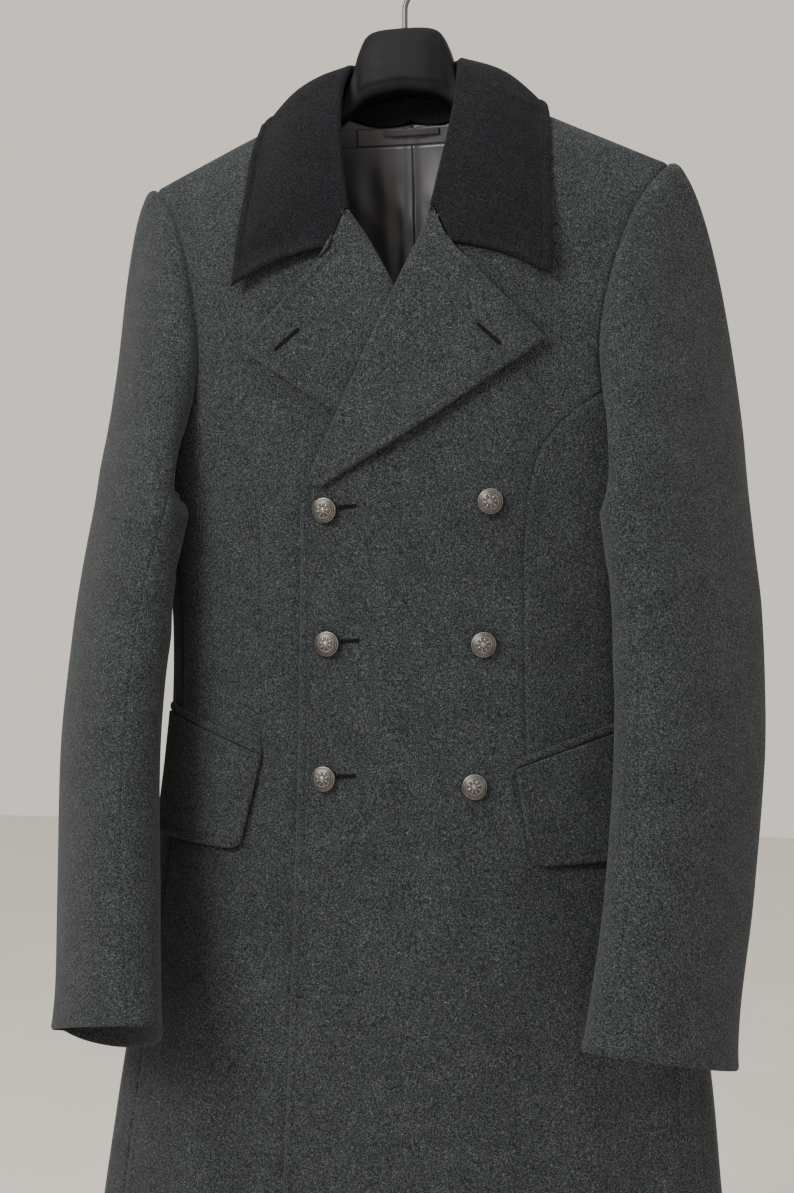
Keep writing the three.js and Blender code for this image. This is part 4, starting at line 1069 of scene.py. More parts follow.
# Lining
def lining_folds(x, z):
    """Loose vertical folds, a pleat at the centre and drag lines from the yoke, inwards only."""
    pleat = 1.8 * bump(x, 0, 5) + 1.2 * bump(x, -9, 4)
    soft = 1.6 * bump(x, 23 + 0.06 * (z + 200), 7) + 1.9 * bump(x, -27 - 0.05 * (z + 200), 8)
    for high, place, wide in ((1.5, 47, 9), (1.3, -52, 9), (1.2, 84, 12), (1.2, -95, 13)):
        soft = soft + high * bump(x, place, wide)
    drag = 1.1 * np.sin(x / 11 + z / 17) ** 2 * bump(z, -225, 26)
    drag = drag + 0.9 * np.sin(x / 15 - z / 12 + 1) ** 2 * bump(z, -262, 22)
    return pleat + soft * ease(z, -168, -200) + drag


def lining_piece(node, x, z):
    base = on_body(x, z, False, 0.0, True)
    normal = body_normal(turn_at(x, level_at(x, z), True), level_at(x, z))
    deep = CLOTH + LINING_GAP + LINING_FOLD_DEPTH * lining_folds(x, z)
    back = base - normal * deep[..., None]
    face = base - normal * (deep + LINING)[..., None]
    cloth_piece(node, back, face, SATIN, "satin")["outer"] = face


def build_lining():
    for side in (1, -1):
        x = side * np.linspace(SEAM_GAP / 2, LINING_CUT["half"], 90)[None]
        top = np.minimum(YOKE["seam"] - SEAM_GAP, ridge_z(x) - LINING_CUT["below_ridge"])
        z = mix(LINING_CUT["foot"], top, np.linspace(0, 1, 90)[:, None])
        lining_piece(f"lining_back_{side_name(side)}", np.broadcast_to(x, z.shape), z)
    across, down = np.linspace(-YOKE["half"], YOKE["half"], 80), np.linspace(YOKE["seam"], YOKE["top"], 14)
    lining_piece("lining_yoke", *np.meshgrid(across, down))


# Sleeves
def armhole_loop():
    """Places round the armhole: from the shoulder down the front, under the arm and up the back."""
    front = np.linspace(1, 0, 90)
    back = np.concatenate([np.linspace(0.002, 0.15, 40), np.linspace(0.16, 1, 70)])
    share = np.concatenate([front, back])
    front_turn = turn_at(read(FRONT_ARMHOLE, "share", front)["x"], level_of(front))
    back_turn = np.radians(read(BACK_ARMHOLE, "share", back)["turn"])
    turn = np.concatenate([front_turn, back_turn])
    points = body_point(turn, level_of(share))
    normals = body_normal(turn, level_of(share))
    run = run_of(points)
    middle = points[::6].mean(0)

    def loop(round_):
        wanted = (round_ % 1) * run[-1]
        point = between(wanted, run, points)
        normal = unit(between(wanted, run, normals))
        inward = middle - point
        away = unit(inward - normal * dot(inward, normal))
        armpit = ease(round_ % 1, 0.5, 0.6) * (1 - ease(round_ % 1, 0.72, 0.8))
        outer = point + away * (0.5 * SEAM_GAP + 3 * armpit)[:, None]
        allowance = point - away * SEAM_ALLOWANCE["under"] - normal * SEAM_ALLOWANCE["deep"]
        return outer, allowance

    return loop


def clear_of_body(points, gap, grown):
    """Points moved out until they are a gap away from the body. grown widens the gap at the sides."""
    x, y, z = points[..., 0], points[..., 1], points[..., 2]
    level = level_at(x, z)
    ring = read(BODY, "z", np.minimum(level, UNDERARM_Z))
    across = (x - ring["shift"]) / ring["half"]
    behind = -((np.maximum(y, 0) / ring["back"]) ** (1 / BACK_FLATNESS))
    turn = np.arctan2(across, np.where(y < 0, -y / ring["front"], behind))
    normal = body_normal(turn, level)
    off = dot(points - body_point(turn, level), normal)[..., 0]
    from_side = (np.abs(turn) - math.pi / 2) / SIDE_EXTRA["turn"]
    wanted = gap + grown * SIDE_EXTRA["high"] * np.exp(-(from_side**2))
    near = np.maximum(0, off - wanted + CLEAR_SOFTNESS)
    soft = wanted + near**2 / (4 * CLEAR_SOFTNESS)
    far = (level > level_of(0.3)) | (off > wanted + CLEAR_SOFTNESS)
    push = np.where(far, 0, np.maximum(off, soft) - off)
    return points + normal * push[..., None]


def sleeve_ring(k, round_, tilt):
    row = {name: column[k] for name, column in SLEEVE.items()}
    outer = np.array([row["ox"], row["oy"], row["oz"]])
    inner = np.array([row["ix"], row["iy"], row["iz"]])
    centre = (outer + inner) / 2
    c, s = np.cos(2 * math.pi * round_), np.sin(2 * math.pi * round_)
    turn = np.radians(np.where(s >= 0, row["front_turn"], row["back_turn"]))
    swell = np.where(s >= 0, row["front"], row["back"])
    way = stack(np.sin(turn), -np.cos(turn), 0.0)
    point = centre + (outer - centre) * c[:, None] + way * (swell * s)[:, None]
    share = ease(k, 3.5, 6)
    point[:, 2] += share * swell * s * np.where(s >= 0, tilt["front"], tilt["back"]) * np.cos(turn)
    return point


def round_from(round_, place):
    """The short way round from a place on the sleeve, in shares of its round."""
    return (round_ - place + 0.5) % 1 - 0.5


def sleeve_ridge(round_, v):
    off = round_from(round_, SLEEVE_RIDGE["round"])
    along = ease(v, 0, 2) * (1 - ease(v, 4, 6))
    high = SLEEVE_RIDGE["high"] * bump(off, 0, SLEEVE_RIDGE["width"])
    return np.array([0.55, -0.83, 0]) * (high * along)[:, None]


def sleeve_row(loop, round_, v, tilt):
    """A section of the sleeve: its head runs from the armhole, and below it rings follow the table."""
    if v < HEAD_SPAN:
        t = v / HEAD_SPAN
        end = sleeve_ring(0, round_, tilt)
        fall = unit(sleeve_ring(1, round_, tilt) - end)
        head = read(SLEEVE_HEAD, "round", (round_ + 0.05) % 1 - 0.05)
        lead = stack(head["x"], head["y"], head["z"])
        return hermite(loop(round_)[0], lead, end, fall * head["fall"][:, None], t)
    last = len(SLEEVE["ox"]) - 2
    k = min(int(v - HEAD_SPAN), last)
    b, c = sleeve_ring(k, round_, tilt), sleeve_ring(k + 1, round_, tilt)
    a = sleeve_ring(k - 1, round_, tilt) if k > 0 else 2 * b - c
    d = sleeve_ring(k + 2, round_, tilt) if k < last else 2 * c - b
    point = hermite(b, (c - a) / 2, c, (d - b) / 2, v - HEAD_SPAN - k)
    return point + sleeve_ridge(round_, v - HEAD_SPAN)


# Place round the sleeve, row, slope of the row with the place, half width in rows, half span, height
SLEEVE_FOLDS = (
    (0.36, 4.4, 2.2, 0.16, 0.11, 1.7),
    (0.34, 4.95, 1.6, 0.15, 0.12, -1.5),
    (0.38, 5.5, 1.2, 0.17, 0.12, 1.4),
    (0.33, 6.2, -1.4, 0.2, 0.1, -1.1),
    (0.14, 3.2, 4.0, 0.3, 0.09, 1.2),
    (0.93, 4.8, -2.0, 0.22, 0.1, 1.4),
    (0.9, 5.6, -1.6, 0.22, 0.1, -1.2),
    (0.6, 5.2, 1.0, 0.22, 0.12, 1.5),
    (0.58, 4.2, 1.4, 0.2, 0.1, -1.4),
)


def sleeve_folds(side, round_, v):
    """Soft folds across the bend of the elbow and down from the sleeve head, and the pressed crease."""
    shift = 0.15 if side > 0 else -0.1
    out = 0
    for place, row, slope, wide, span, high in SLEEVE_FOLDS:
        off = round_from(round_, place)
        out = out + high * bump(off, 0, span) * bump(v, row + slope * off + shift, wide)
    off = round_from(round_, SLEEVE_RIDGE["round"])
    crease = bump(off, 0, 0.007) * ease(v, 2.4, 4) * (1 - ease(v, 7.2, 8.4))
    return out + 0.9 * crease


def build_sleeve(side):
    tilt = CUFF_TILT[side]
    loop = armhole_loop()
    # The first row is the seam allowance, which lies inside the coat under the body's edge
    head = [[-0.01], NEAR * SLEEVE_SCALE["head"], np.linspace(0.2, 3, 44)]
    arm = [np.linspace(3, 8.7, 74)[1:-1], SLEEVE_LAST - NEAR[::-1] * SLEEVE_SCALE["cuff"]]
    v = np.concatenate([*head, *arm])
    apart = SEWN_GAP / 2 * SLEEVE_SCALE["gap"]
    near = NEAR * SLEEVE_SCALE["round"]
    pieces = (
        ("sleeve_top", SLEEVE_SEAMS["back"] - 1, SLEEVE_SEAMS["front"], 34),
        ("sleeve_under", SLEEVE_SEAMS["front"], SLEEVE_SEAMS["back"], 22),
    )
    for word, start, end, middle in pieces:
        inside = np.linspace(start + near[-1], end - near[-1], middle + 2)[1:-1]
        plain = np.concatenate([start + near, inside, end - near[::-1]])
        rounds = start + apart + (plain - start) * (end - start - 2 * apart) / (end - start)
        flat = []
        for at in v:
            points = sleeve_row(loop, rounds, at, tilt) if at >= 0 else loop(rounds)[1]
            points[:, 0] *= side
            if at > 0:
                grown = float(ease(at, 0, 0.7))
                points = clear_of_body(points, mix(-1.5, SLEEVE_CLEARANCE, grown), grown)
            flat.append(points)
        flat = np.stack(flat)
        normal = side * grid_normals(flat[1:])
        normal = np.concatenate([normal[:1], normal])
        out = RIPPLE["sleeve"] * ripple(flat) * ease(v, 0.05, 0.6)[:, None]
        out = out + sleeve_folds(side, plain[None], v[:, None])
        borders = (
            (seam_form, flat[:, 0], 0.8),
            (seam_form, flat[:, -1], 0.8),
            (seam_form, flat[1], 0.7),
            (hem_form, flat[-1], 1),
        )
        out, thin = pressed(flat, out, borders)
        if word == "sleeve_top":
            out = out + 1.1 * bump(edge_distance(flat, flat[1]), 9, 5.5)
        outer, inner = faces_of(flat, normal, out, CLOTH - thin)
        lined = v[1:] < CUFF_FACING_ROW
        cloth_piece(f"{word}_{side_name(side)}", outer, inner, WOOL, "wool", SATIN, None, lined)


# Collar and lapels
FOLD_TURNS = np.radians(np.linspace(0, 180, 15))
TUCKED_COLUMNS = 4
LEAF_COLUMNS = 62
FIRST_LAPEL_ROW = 0.1


def folded_section(fold, away, up, under, leaf):
    """Points of a leaf that turns over a fold: its tucked end, the half-round turn, then the leaf."""
    centre = fold + away * OUTER_FOLD
    aside, upward = np.sin(FOLD_TURNS)[:, None], np.cos(FOLD_TURNS)[:, None]
    turned = centre - away * OUTER_FOLD * aside - up * OUTER_FOLD * upward
    return np.concatenate([under, turned, leaf(turned[-1])])


def collar_rib(at):
    rib = read(COLLAR, "at", abs(at))
    side = np.sign(at)
    fold = np.array([side * rib["fx"], rib["fy"], rib["fz"]])
    edge = np.array([side * rib["ex"], rib["ey"], rib["ez"]])
    return fold, edge, float(rib["swell"])


def collar_along(at):
    return unit(collar_rib(max(-1, at - 0.02))[0] - collar_rib(min(1, at + 0.02))[0])


def neck_point(at):
    """Where the collar's foot meets the neck: on the front, or on the back short of the shoulder."""
    a, side, shoulder = abs(at), np.sign(at), COLLAR_AT_SHOULDER
    if a >= shoulder:
        share = min(mix(1, NECK_FOOT_SHARE, (a - shoulder) / (1 - shoulder)), NEAR_RIDGE_SHARE)
        level = level_of(share)
        return body_point(side * turn_at(read(FRONT_NECK, "share", share)["x"], level), level)
    x = side * NECK_HALF * math.sin(a / shoulder * math.pi / 2)
    level = level_of(mix(NAPE_SHARE, NEAR_RIDGE_SHARE, (x / NECK_HALF) ** 2))
    return body_point(turn_at(x, level, True), level)


def clear_of_shoulders(points, gap):
    x, y, z = points[:, 0], points[:, 1], points[:, 2]
    ridge = ridge_z(x)
    above = z > ridge - 1
    level = level_at(x, np.minimum(z, ridge - 1))
    turn = turn_at(x, level, y > 0)
    normal = body_normal(turn, level, True)
    off = dot(points - body_point(turn, level, True), normal)[:, 0]
    moved = points + normal * np.maximum(gap - off, 0)[:, None]
    raised = stack(x, y, np.maximum(z, ridge + gap * 1.1))
    return np.where(above[:, None], raised, moved)


def collar_section(at, shares):
    fold, edge, swell = collar_rib(at)
    along = collar_along(at)
    away = unit(edge - fold - along * dot(edge - fold, along))
    up = unit(np.cross(away, along))
    neck = neck_point(at)
    inward = unit(np.array([-neck[0], -neck[1] - 10, 0]))
    foot = neck + inward * (DOUBLE_CLOTH + STAND_GAP + CLOTH * 0.9)
    stand_top = fold + away * OUTER_FOLD - up * OUTER_FOLD
    under = mix(foot, stand_top, np.linspace(0, 1, 13)[:-1, None])
    gorge = float(ease(abs(at), 0.86, 1))
    side = 1 if at >= 0 else -1
    lift = LEAF_STACK + GORGE_END["lift"]
    gorge_end = on_body(side * GORGE_END["x"], GORGE_END["z"], side > 0, lift)
    clear = COLLAR_CLEARANCE + GORGE_END["clear"] * gorge

    def leaf(start):
        s = shares[:, None]
        point = mix(start, edge, s) + up * (np.sin(math.pi * np.minimum(1, s * 1.1)) * swell)
        rest = (s - GORGE_SHARE) / (1 - GORGE_SHARE)
        lower = mix(gorge_end, edge, rest) + np.array([0, 0, 4]) * np.sin(math.pi * rest)
        seam = mix(start, gorge_end, s / GORGE_SHARE)
        point = mix(point, np.where(s <= GORGE_SHARE, seam, lower), gorge)
        pushed = clear_of_shoulders(point, clear)
        return mix(point, pushed, ease(s, GORGE_SHARE, GORGE_SHARE + 0.02))

    return folded_section(fold, away, up, under, leaf)


def collar_places():
    ends = 1 - NEAR / COLLAR_LENGTHS["half"]
    half = np.concatenate([ends, np.linspace(ends[-1], 0, 125)[1:]])
    return np.concatenate([half, -half[::-1][1:]])


def build_collar():
    near_edge = 1 - NEAR[::-1] / COLLAR_LENGTHS["fall"]
    shares = np.concatenate([np.linspace(0, near_edge[0], 50)[1:], near_edge[1:]])
    grid = np.stack([collar_section(at, shares) for at in collar_places()])
    first_leaf = grid.shape[1] - len(shares)
    gorge_column = first_leaf + int(np.searchsorted(shares, GORGE_SHARE))
    edge = np.concatenate([grid[0, gorge_column:], grid[1:-1, -1], grid[-1, gorge_column:][::-1]])
    distance = edge_distance(grid, edge)
    seam = np.minimum(
        edge_distance(grid, grid[0, first_leaf:gorge_column]),
        edge_distance(grid, grid[-1, first_leaf:gorge_column]),
    )
    leaf = (np.arange(grid.shape[1]) >= first_leaf)[None]
    out = (edge_form(distance) + 0.5 * seam_form(seam) + RIPPLE["collar"] * ripple(grid, 0.7)) * leaf
    thick = DOUBLE_CLOTH - thinning(distance) - 0.5 * thinning(seam)
    face, back = faces_of(grid, grid_normals(grid), out, thick)
    field = np.where(leaf, distance, FAR)
    cloth_piece("collar", face, back, COLLAR_WOOL, "collar_wool", field=field)


def lapel_row(side, r, leaf_places):
    """One section of a lapel. leaf_places gives the shares of the leaf for its length."""
    over = side > 0
    edge = OVER_EDGE if over else UNDER_EDGE
    foot = np.array([float(read(edge, "z", BREAK_Z)["x"]), BREAK_Z])
    tip = np.array([side * LAPEL_TIP["x"], LAPEL_TIP["z"]])
    gorge = np.array([side * GORGE_END["x"], GORGE_END["z"] - SEAM_GAP])
    roll_z = mix(GORGE_FOLD_Z - SEAM_GAP, BREAK_Z, r)
    roll_x = float(read(edge, "z", roll_z)["x"])
    below = r > LAPEL_TIP["share"]
    t = (r - LAPEL_TIP["share"]) / (1 - LAPEL_TIP["share"]) if below else (r / LAPEL_TIP["share"]) ** 1.5
    start, end = (tip, foot) if below else (gorge, tip)
    end = mix(start, end, t)
    if below:
        end = end - np.array([0, 5 * math.sin(math.pi * t)])
    level = level_at(roll_x, roll_z)
    up = body_normal(turn_at(roll_x, level), level, over)
    roll = on_body(roll_x, roll_z, over)
    away = on_body(end[0], end[1], over) - roll
    away = unit(away - up * dot(away, up))
    length = math.hypot(end[0] - roll_x, end[1] - roll_z)
    fold = roll + up * (FOLD_RADIUS - CLOTH / 2)
    tuck = OUTER_FOLD + ROLL_TRIM - 3 * SEAM_GAP
    tucked = mix(OUTER_FOLD, tuck, np.linspace(1, 0.12, TUCKED_COLUMNS))[:, None]
    under = roll - up * (CLOTH + DOUBLE_CLOTH) / 2 + away * tucked

    def leaf(_):
        shares = leaf_places(length)
        along = mix(OUTER_FOLD / length, 1, shares)
        x = mix(roll_x, end[0], along)
        if over:
            high = LAPEL_LIFT["over"] * ease(along, 0.3, 1)
        else:
            high = LAPEL_LIFT["under"] * ease(-x, 50, 120)
        high = high * float(ease(length, 10, 60))
        return on_body(x, mix(roll_z, end[1], along), over, LEAF_STACK + high)

    return folded_section(fold, away, up, under, leaf)


def gorge_row(side, shares):
    """The lapel's end along the gorge seam, just clear of the collar."""
    section = collar_section(float(side), shares * GORGE_SHARE)
    turned = len(section) - len(shares)
    way = -side * collar_along(float(side))
    seam_way = unit(section[-1] - section[turned - 1])
    across = unit(way - seam_way * dot(way, seam_way))
    moved = np.where((np.arange(len(section)) < turned)[:, None], way, across)
    return (section + moved * GORGE_GAP)[turned - len(FOLD_TURNS) - TUCKED_COLUMNS :]


def lapel_shares(length):
    near = NEAR * min(1, NEAR_SHARE * length / NEAR[-1])
    far = 1 - near[::-1] / length
    return np.concatenate([np.linspace(0, far[0], LEAF_COLUMNS - len(NEAR) + 1)[1:], far[1:]])


def build_lapel(side):
    first = lapel_row(side, FIRST_LAPEL_ROW, lapel_shares)
    seam = gorge_row(side, lapel_shares(45.0))
    opening = np.array([0, 0.02, 0.05, 0.1, 0.17, 0.25, 0.35, 0.45, 0.55, 0.65, 0.76, 0.88])
    rows = [mix(seam, first, t) for t in opening]
    tip = LAPEL_TIP["share"]
    near_tip = NEAR[1:8] / LAPEL_LENGTH
    places = np.concatenate(
        [
            np.linspace(FIRST_LAPEL_ROW, tip - near_tip[-1], 34),
            tip - near_tip[::-1][1:],
            [tip],
            tip + near_tip,
            np.linspace(tip + near_tip[-1], LAPEL_FOOT_ROW, 92)[1:],
        ]
    )
    rows += [lapel_row(side, r, lapel_shares) for r in places]
    grid = np.stack(rows)
    leaf_start = grid.shape[1] - LEAF_COLUMNS
    distance = edge_distance(grid, grid[:, -1])
    leaf = (np.arange(grid.shape[1]) >= leaf_start)[None]
    fade = ease(np.arange(len(rows)), len(rows) - 1, len(rows) - 12)[:, None]
    seam = 0.6 * seam_form(edge_distance(grid, grid[0, leaf_start:]))
    out = (edge_form(distance) * fade + seam + RIPPLE["lapel"] * ripple(grid, 0.7)) * leaf
    face, back = faces_of(grid, -side * grid_normals(grid), out, DOUBLE_CLOTH - thinning(distance))
    field = np.where(leaf & (fade > 0.3), distance, FAR)
    cloth_piece(f"lapel_{side_name(side)}", face, back, WOOL, "wool", field=field)


# Pockets
def flap_point(side, along, down, out):
    hung = FLAP[side]
    front = mix(hung["front_turn"], hung["foot_turn"], down)
    turn = np.radians(mix(front, FLAP["rear_turn"], along))
    x = read(BODY, "z", hung["foot"])["half"] * np.sin(turn)
    in_corner = np.clip(1 - along / FLAP["corner_share"], 0, 1)
    foot = hung["foot"] + FLAP["foot_rise"] * along + FLAP["corner"] * (1 - np.sqrt(1 - in_corner**2))
    top = hung["top"] + FLAP["top_slope"] * (x - FLAP["front_x"])
    z = mix(top, foot, down)
    level = level_at(x, z)
    over = side > 0
    normal = body_normal(side * turn, level, over)
    return body_point(side * turn, level, over) + normal * np.asarray(out)[..., None], normal


def build_pocket(side):
    near = NEAR / FLAP["long"]
    inside = np.linspace(near[-1], 1 - near[-1], 46)[1:-1]
    along = np.concatenate([near, inside, 1 - near[::-1]])[None]
    near = NEAR / FLAP["deep"]
    down = np.concatenate([np.linspace(0, 1 - near[-1], 30)[:-1], 1 - near[::-1]])[:, None]
    along, down = np.broadcast_arrays(along, down)
    clear = FLAP["clear"] + FLAP["lift"] * down
    flat, normal = flap_point(side, along, down, clear + DOUBLE_CLOTH)
    distance = edge_distance(flat, np.concatenate([flat[:, 0], flat[-1, 1:]]))
    belly = 0.9 * np.sin(math.pi * along) * down
    out = edge_form(distance) + belly + RIPPLE["flap"] * ripple(flat, 0.5)
    face, back = faces_of(flat, normal, out, DOUBLE_CLOTH - thinning(distance))
    cloth_piece(f"pocket_flap_{side_name(side)}", face, back, WOOL, "wool", field=distance)

    along, rise = np.meshgrid(np.linspace(0, 1, 90), np.linspace(0, 1, 15))
    flat, normal = flap_point(side, along, np.zeros_like(along), np.zeros_like(along))
    flat = flat + stack(0.0, 0.0, mix(SEAM_GAP, WELT["height"], rise))
    roll = np.sqrt(np.clip(1 - (2 * rise - 1) ** 2, 0, 1))
    end = np.sqrt(np.clip(np.minimum(along, 1 - along) / 0.02, 0, 1))
    proud = (WELT["proud"] + 0.6) * mix(0.25, 1, roll * end)
    face = flat + normal * (FLAP["clear"] + proud)[..., None]
    back = flat + normal * FLAP["clear"]
    cloth_piece(f"pocket_welt_{side_name(side)}", face, back, WOOL, "wool")


# Buttons
def button_height(r, angle):
    """Raised work of a button over its dome: a rim, a corded ring, petals and a boss."""
    rope = 0.28 * bump(r, 0.8, 0.035) * (0.6 + 0.4 * np.cos(44 * angle + 60 * r))
    rim = 0.3 * bump(r, 0.95, 0.03)
    ring = 0.26 * bump(r, 0.6, 0.025) + 0.18 * bump(r, 0.67, 0.015)
    petals = 0.26 * np.clip(np.cos(8 * angle), 0, 1) ** 0.6 * bump(r, 0.4, 0.11)
    veins = 0.12 * np.cos(16 * angle) * bump(r, 0.4, 0.09)
    boss = 0.4 * bump(r, 0, 0.14) + 0.14 * bump(r, 0.2, 0.025)
    return rope + rim + ring + petals + veins + boss


def build_button(node, x, z):
    rings, sides = 44, 96
    radius, spread = BUTTON["radius"], BUTTON_DOME["spread"]
    r = np.linspace(0, 1, rings)[1:]
    angle = np.arange(sides) * 2 * math.pi / sides
    rr, aa = np.meshgrid(r, angle, indexing="ij")
    rim_z = BUTTON["seat"] + BUTTON["shank_height"]
    base_z = rim_z + BUTTON["rim"] - BUTTON_DOME["set_down"]
    dome = BUTTON["dome"] * np.sqrt(np.clip(1 - (rr * spread) ** 2, 0, 1)) * (1 - 0.1 * rr**6)
    work = button_height(rr, aa)
    face = stack(rr * radius * np.cos(aa), rr * radius * np.sin(aa), base_z + dome * spread + work)
    under_r = np.array([1.0, 1.0, 0.93, 0.3, 0.24, 0.24])
    under_z = np.array([rim_z + 1.1, rim_z + 0.4, rim_z, rim_z, rim_z - 0.3, BUTTON["seat"]])
    ur, ua = np.meshgrid(under_r, angle, indexing="ij")
    under = stack(ur * radius * np.cos(ua), ur * radius * np.sin(ua), under_z[:, None])
    centre_top = base_z + BUTTON["dome"] * spread + button_height(0.0, 0.0)
    points = np.concatenate([[[0, 0, centre_top]], face.reshape(-1, 3), under.reshape(-1, 3)])
    wear = np.concatenate([[1.0], (0.3 + 1.5 * work).ravel(), np.full(under.shape[0] * sides, 0.2)])
    number, quads = ring_quads(rings - 1 + len(under_r), sides)
    top = number[0] + 1
    fan = [(0, a, b) for a, b in zip(top, np.roll(top, -1))]
    faces = [*(quads[:, [0, 3, 2, 1]] + 1), *fan, tuple(number[-1][::-1] + 1)]
    level = level_at(x, z)
    normal = body_normal(turn_at(x, level), level, True)
    seat = on_body(x, z, True, 0.0)
    side = unit(np.cross([0, 0, 1], normal))
    up = np.cross(normal, side)
    spin = math.radians(BUTTON_SPIN[node[-1]])
    right = side * math.cos(spin) + up * math.sin(spin)
    rise = up * math.cos(spin) - side * math.sin(spin)
    placed = seat + points[:, :1] * right + points[:, 1:2] * rise + points[:, 2:] * normal
    obj = mesh_object(f"metal_{node}", placed, faces, [PEWTER])
    attribute = obj.data.attributes.new("wear", "FLOAT", "POINT")
    attribute.data.foreach_set("value", np.clip(wear, 0, 1).astype(np.float32))
    dress(obj, node)


def lay(points, node):
    """The nearest place and normal on a sewn piece's face, seen from the front."""
    grid = sewn[node]["outer"]
    flat, normal = grid.reshape(-1, 3), grid_normals(grid).reshape(-1, 3)
    found = []
    for x, z in points:
        near = (flat[:, 0] - x) ** 2 + (flat[:, 2] - z) ** 2 + 0.02 * (flat[:, 1] + 120) ** 2
        i = int(near.argmin())
        facing = normal[i] * (1 if normal[i][1] < 0 else -1)
        found.append(np.concatenate([[x], [flat[i][1]], [z], facing]))
    return np.array(found)


# Purl stitches: half the slit, the cord's size across and up, how proud it lies and how much it swells
PURL = {"half": 0.85, "across": 0.8, "up": 0.6, "proud": 0.4, "swell": 0.22, "sides": 12}


def buttonhole(name, node, start, end, eyelet):
    """A slit between two rows of close purl stitches, with a round eye at its start."""
    t = np.linspace(0, 1, 40)
    laid = lay(mix(np.array(start, float), np.array(end, float), t[:, None]), node)
    smooth = np.stack([np.polyval(np.polyfit(t, column, 3), t) for column in laid.T], -1)
    centre, normal = smooth[:, :3], unit(smooth[:, 3:])
    side = unit(np.cross(unit(np.gradient(centre, axis=0)), normal))
    s = np.linspace(0, 1, 60)
    half = PURL["half"] + eyelet * bump(s, 0.04, 0.07)
    there_and_back = np.concatenate([s, s[::-1]])
    place, up, out = (between(there_and_back, t, rows) for rows in (centre, normal, side))
    up = unit(up)
    path = place + out * np.concatenate([half, -half[::-1]])[:, None]
    forward = unit(np.roll(path, -1, axis=0) - np.roll(path, 1, axis=0))
    cross = unit(np.cross(forward, up))
    purl = (1 + PURL["swell"] * np.cos(np.arange(len(path)) * math.pi))[:, None]
    points = []
    for i in range(PURL["sides"]):
        angle = 2 * math.pi * i / PURL["sides"]
        ring = cross * math.cos(angle) * PURL["across"] + up * math.sin(angle) * PURL["up"]
        points.append(path + ring * purl + up * PURL["proud"])
    number = np.arange(PURL["sides"] * len(path)).reshape(PURL["sides"], len(path))
    ahead, above = np.roll(number, -1, axis=1), np.roll(number, -1, axis=0)
    faces = np.stack([number, ahead, np.roll(ahead, -1, axis=0), above], -1).reshape(-1, 4)
    # The cord's near-black thread carries the painted shade of the slit
    obj = mesh_object(name, np.concatenate(points), faces, [HOLE_THREAD_SLIT_SHADE])
    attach(obj, "root")
    return obj


# Name, the piece it is worked in, x and z of its start and its end, swell of the eye
HOLES = (
    ("buttonhole_hole_1", "front_left", (-39, -497), (-25, -496), 0.9),
    ("buttonhole_hole_2", "front_left", (-39, -610), (-24, -609), 0.9),
    ("buttonhole_hole_3", "front_left", (-42, -724), (-27, -723), 0.9),
    ("buttonhole_lapel_right", "lapel_right", (-98, -362), (-77, -345), 0.0),
    ("buttonhole_lapel_left", "lapel_left", (98, -364), (79, -347), 0.0),
)


def build_buttonholes():
    found = {}
    for name, node, start, end, eyelet in HOLES:
        found.setdefault(node, []).append(buttonhole(name, node, start, end, eyelet))
    return found


# Hanger
def tube(path, radius, sides=16):
    """A round bar along a path in the plane of X and Z, rounded at its free end."""
    forward = unit(np.gradient(path, axis=0))
    level = np.array([0.0, 1.0, 0.0])
    other = np.cross(forward, level)
    angle = np.arange(sides)[:, None] * 2 * math.pi / sides
    ring = level * np.cos(angle) + other[:, None] * np.sin(angle)
    points = path[:, None] + radius[:, None, None] * ring
    number, quads = ring_quads(len(path), sides)
    return points.reshape(-1, 3), [*quads, tuple(number[0][::-1]), tuple(number[-1])]


def build_hook():
    centre_z = -HOOK["bow"] + HOOK["wire"]
    turn = np.radians(np.linspace(HOOK["bow_turn"], 180 + HOOK["tip_turn"], 90))
    bow = stack(HOOK["bow"] * np.cos(turn), 0.0, centre_z + HOOK["bow"] * np.sin(turn))
    stem = stack(0.0, 0.0, np.linspace(HOOK["stem_foot"], HOOK["stem_top"], 8))
    a, b = stem[-1], bow[0]
    # The wire bends from the stem into the bow between these two ends
    t = np.linspace(0, 1, 14)[1:-1, None]
    lead, land = np.array([0, 0, HOOK_BEND]), unit(bow[1] - bow[0]) * HOOK_BEND
    path = np.concatenate([stem, hermite(a, lead, b, land, t), bow])
    radius = np.full(len(path), HOOK["wire"])
    radius[-4:] = HOOK["wire"] * np.array([0.96, 0.85, 0.66, 0.3])
    points, faces = tube(path, radius)
    obj = mesh_object("metal_hanger_hook", points, faces, [STEEL])
    dress(obj, "hanger_hook")


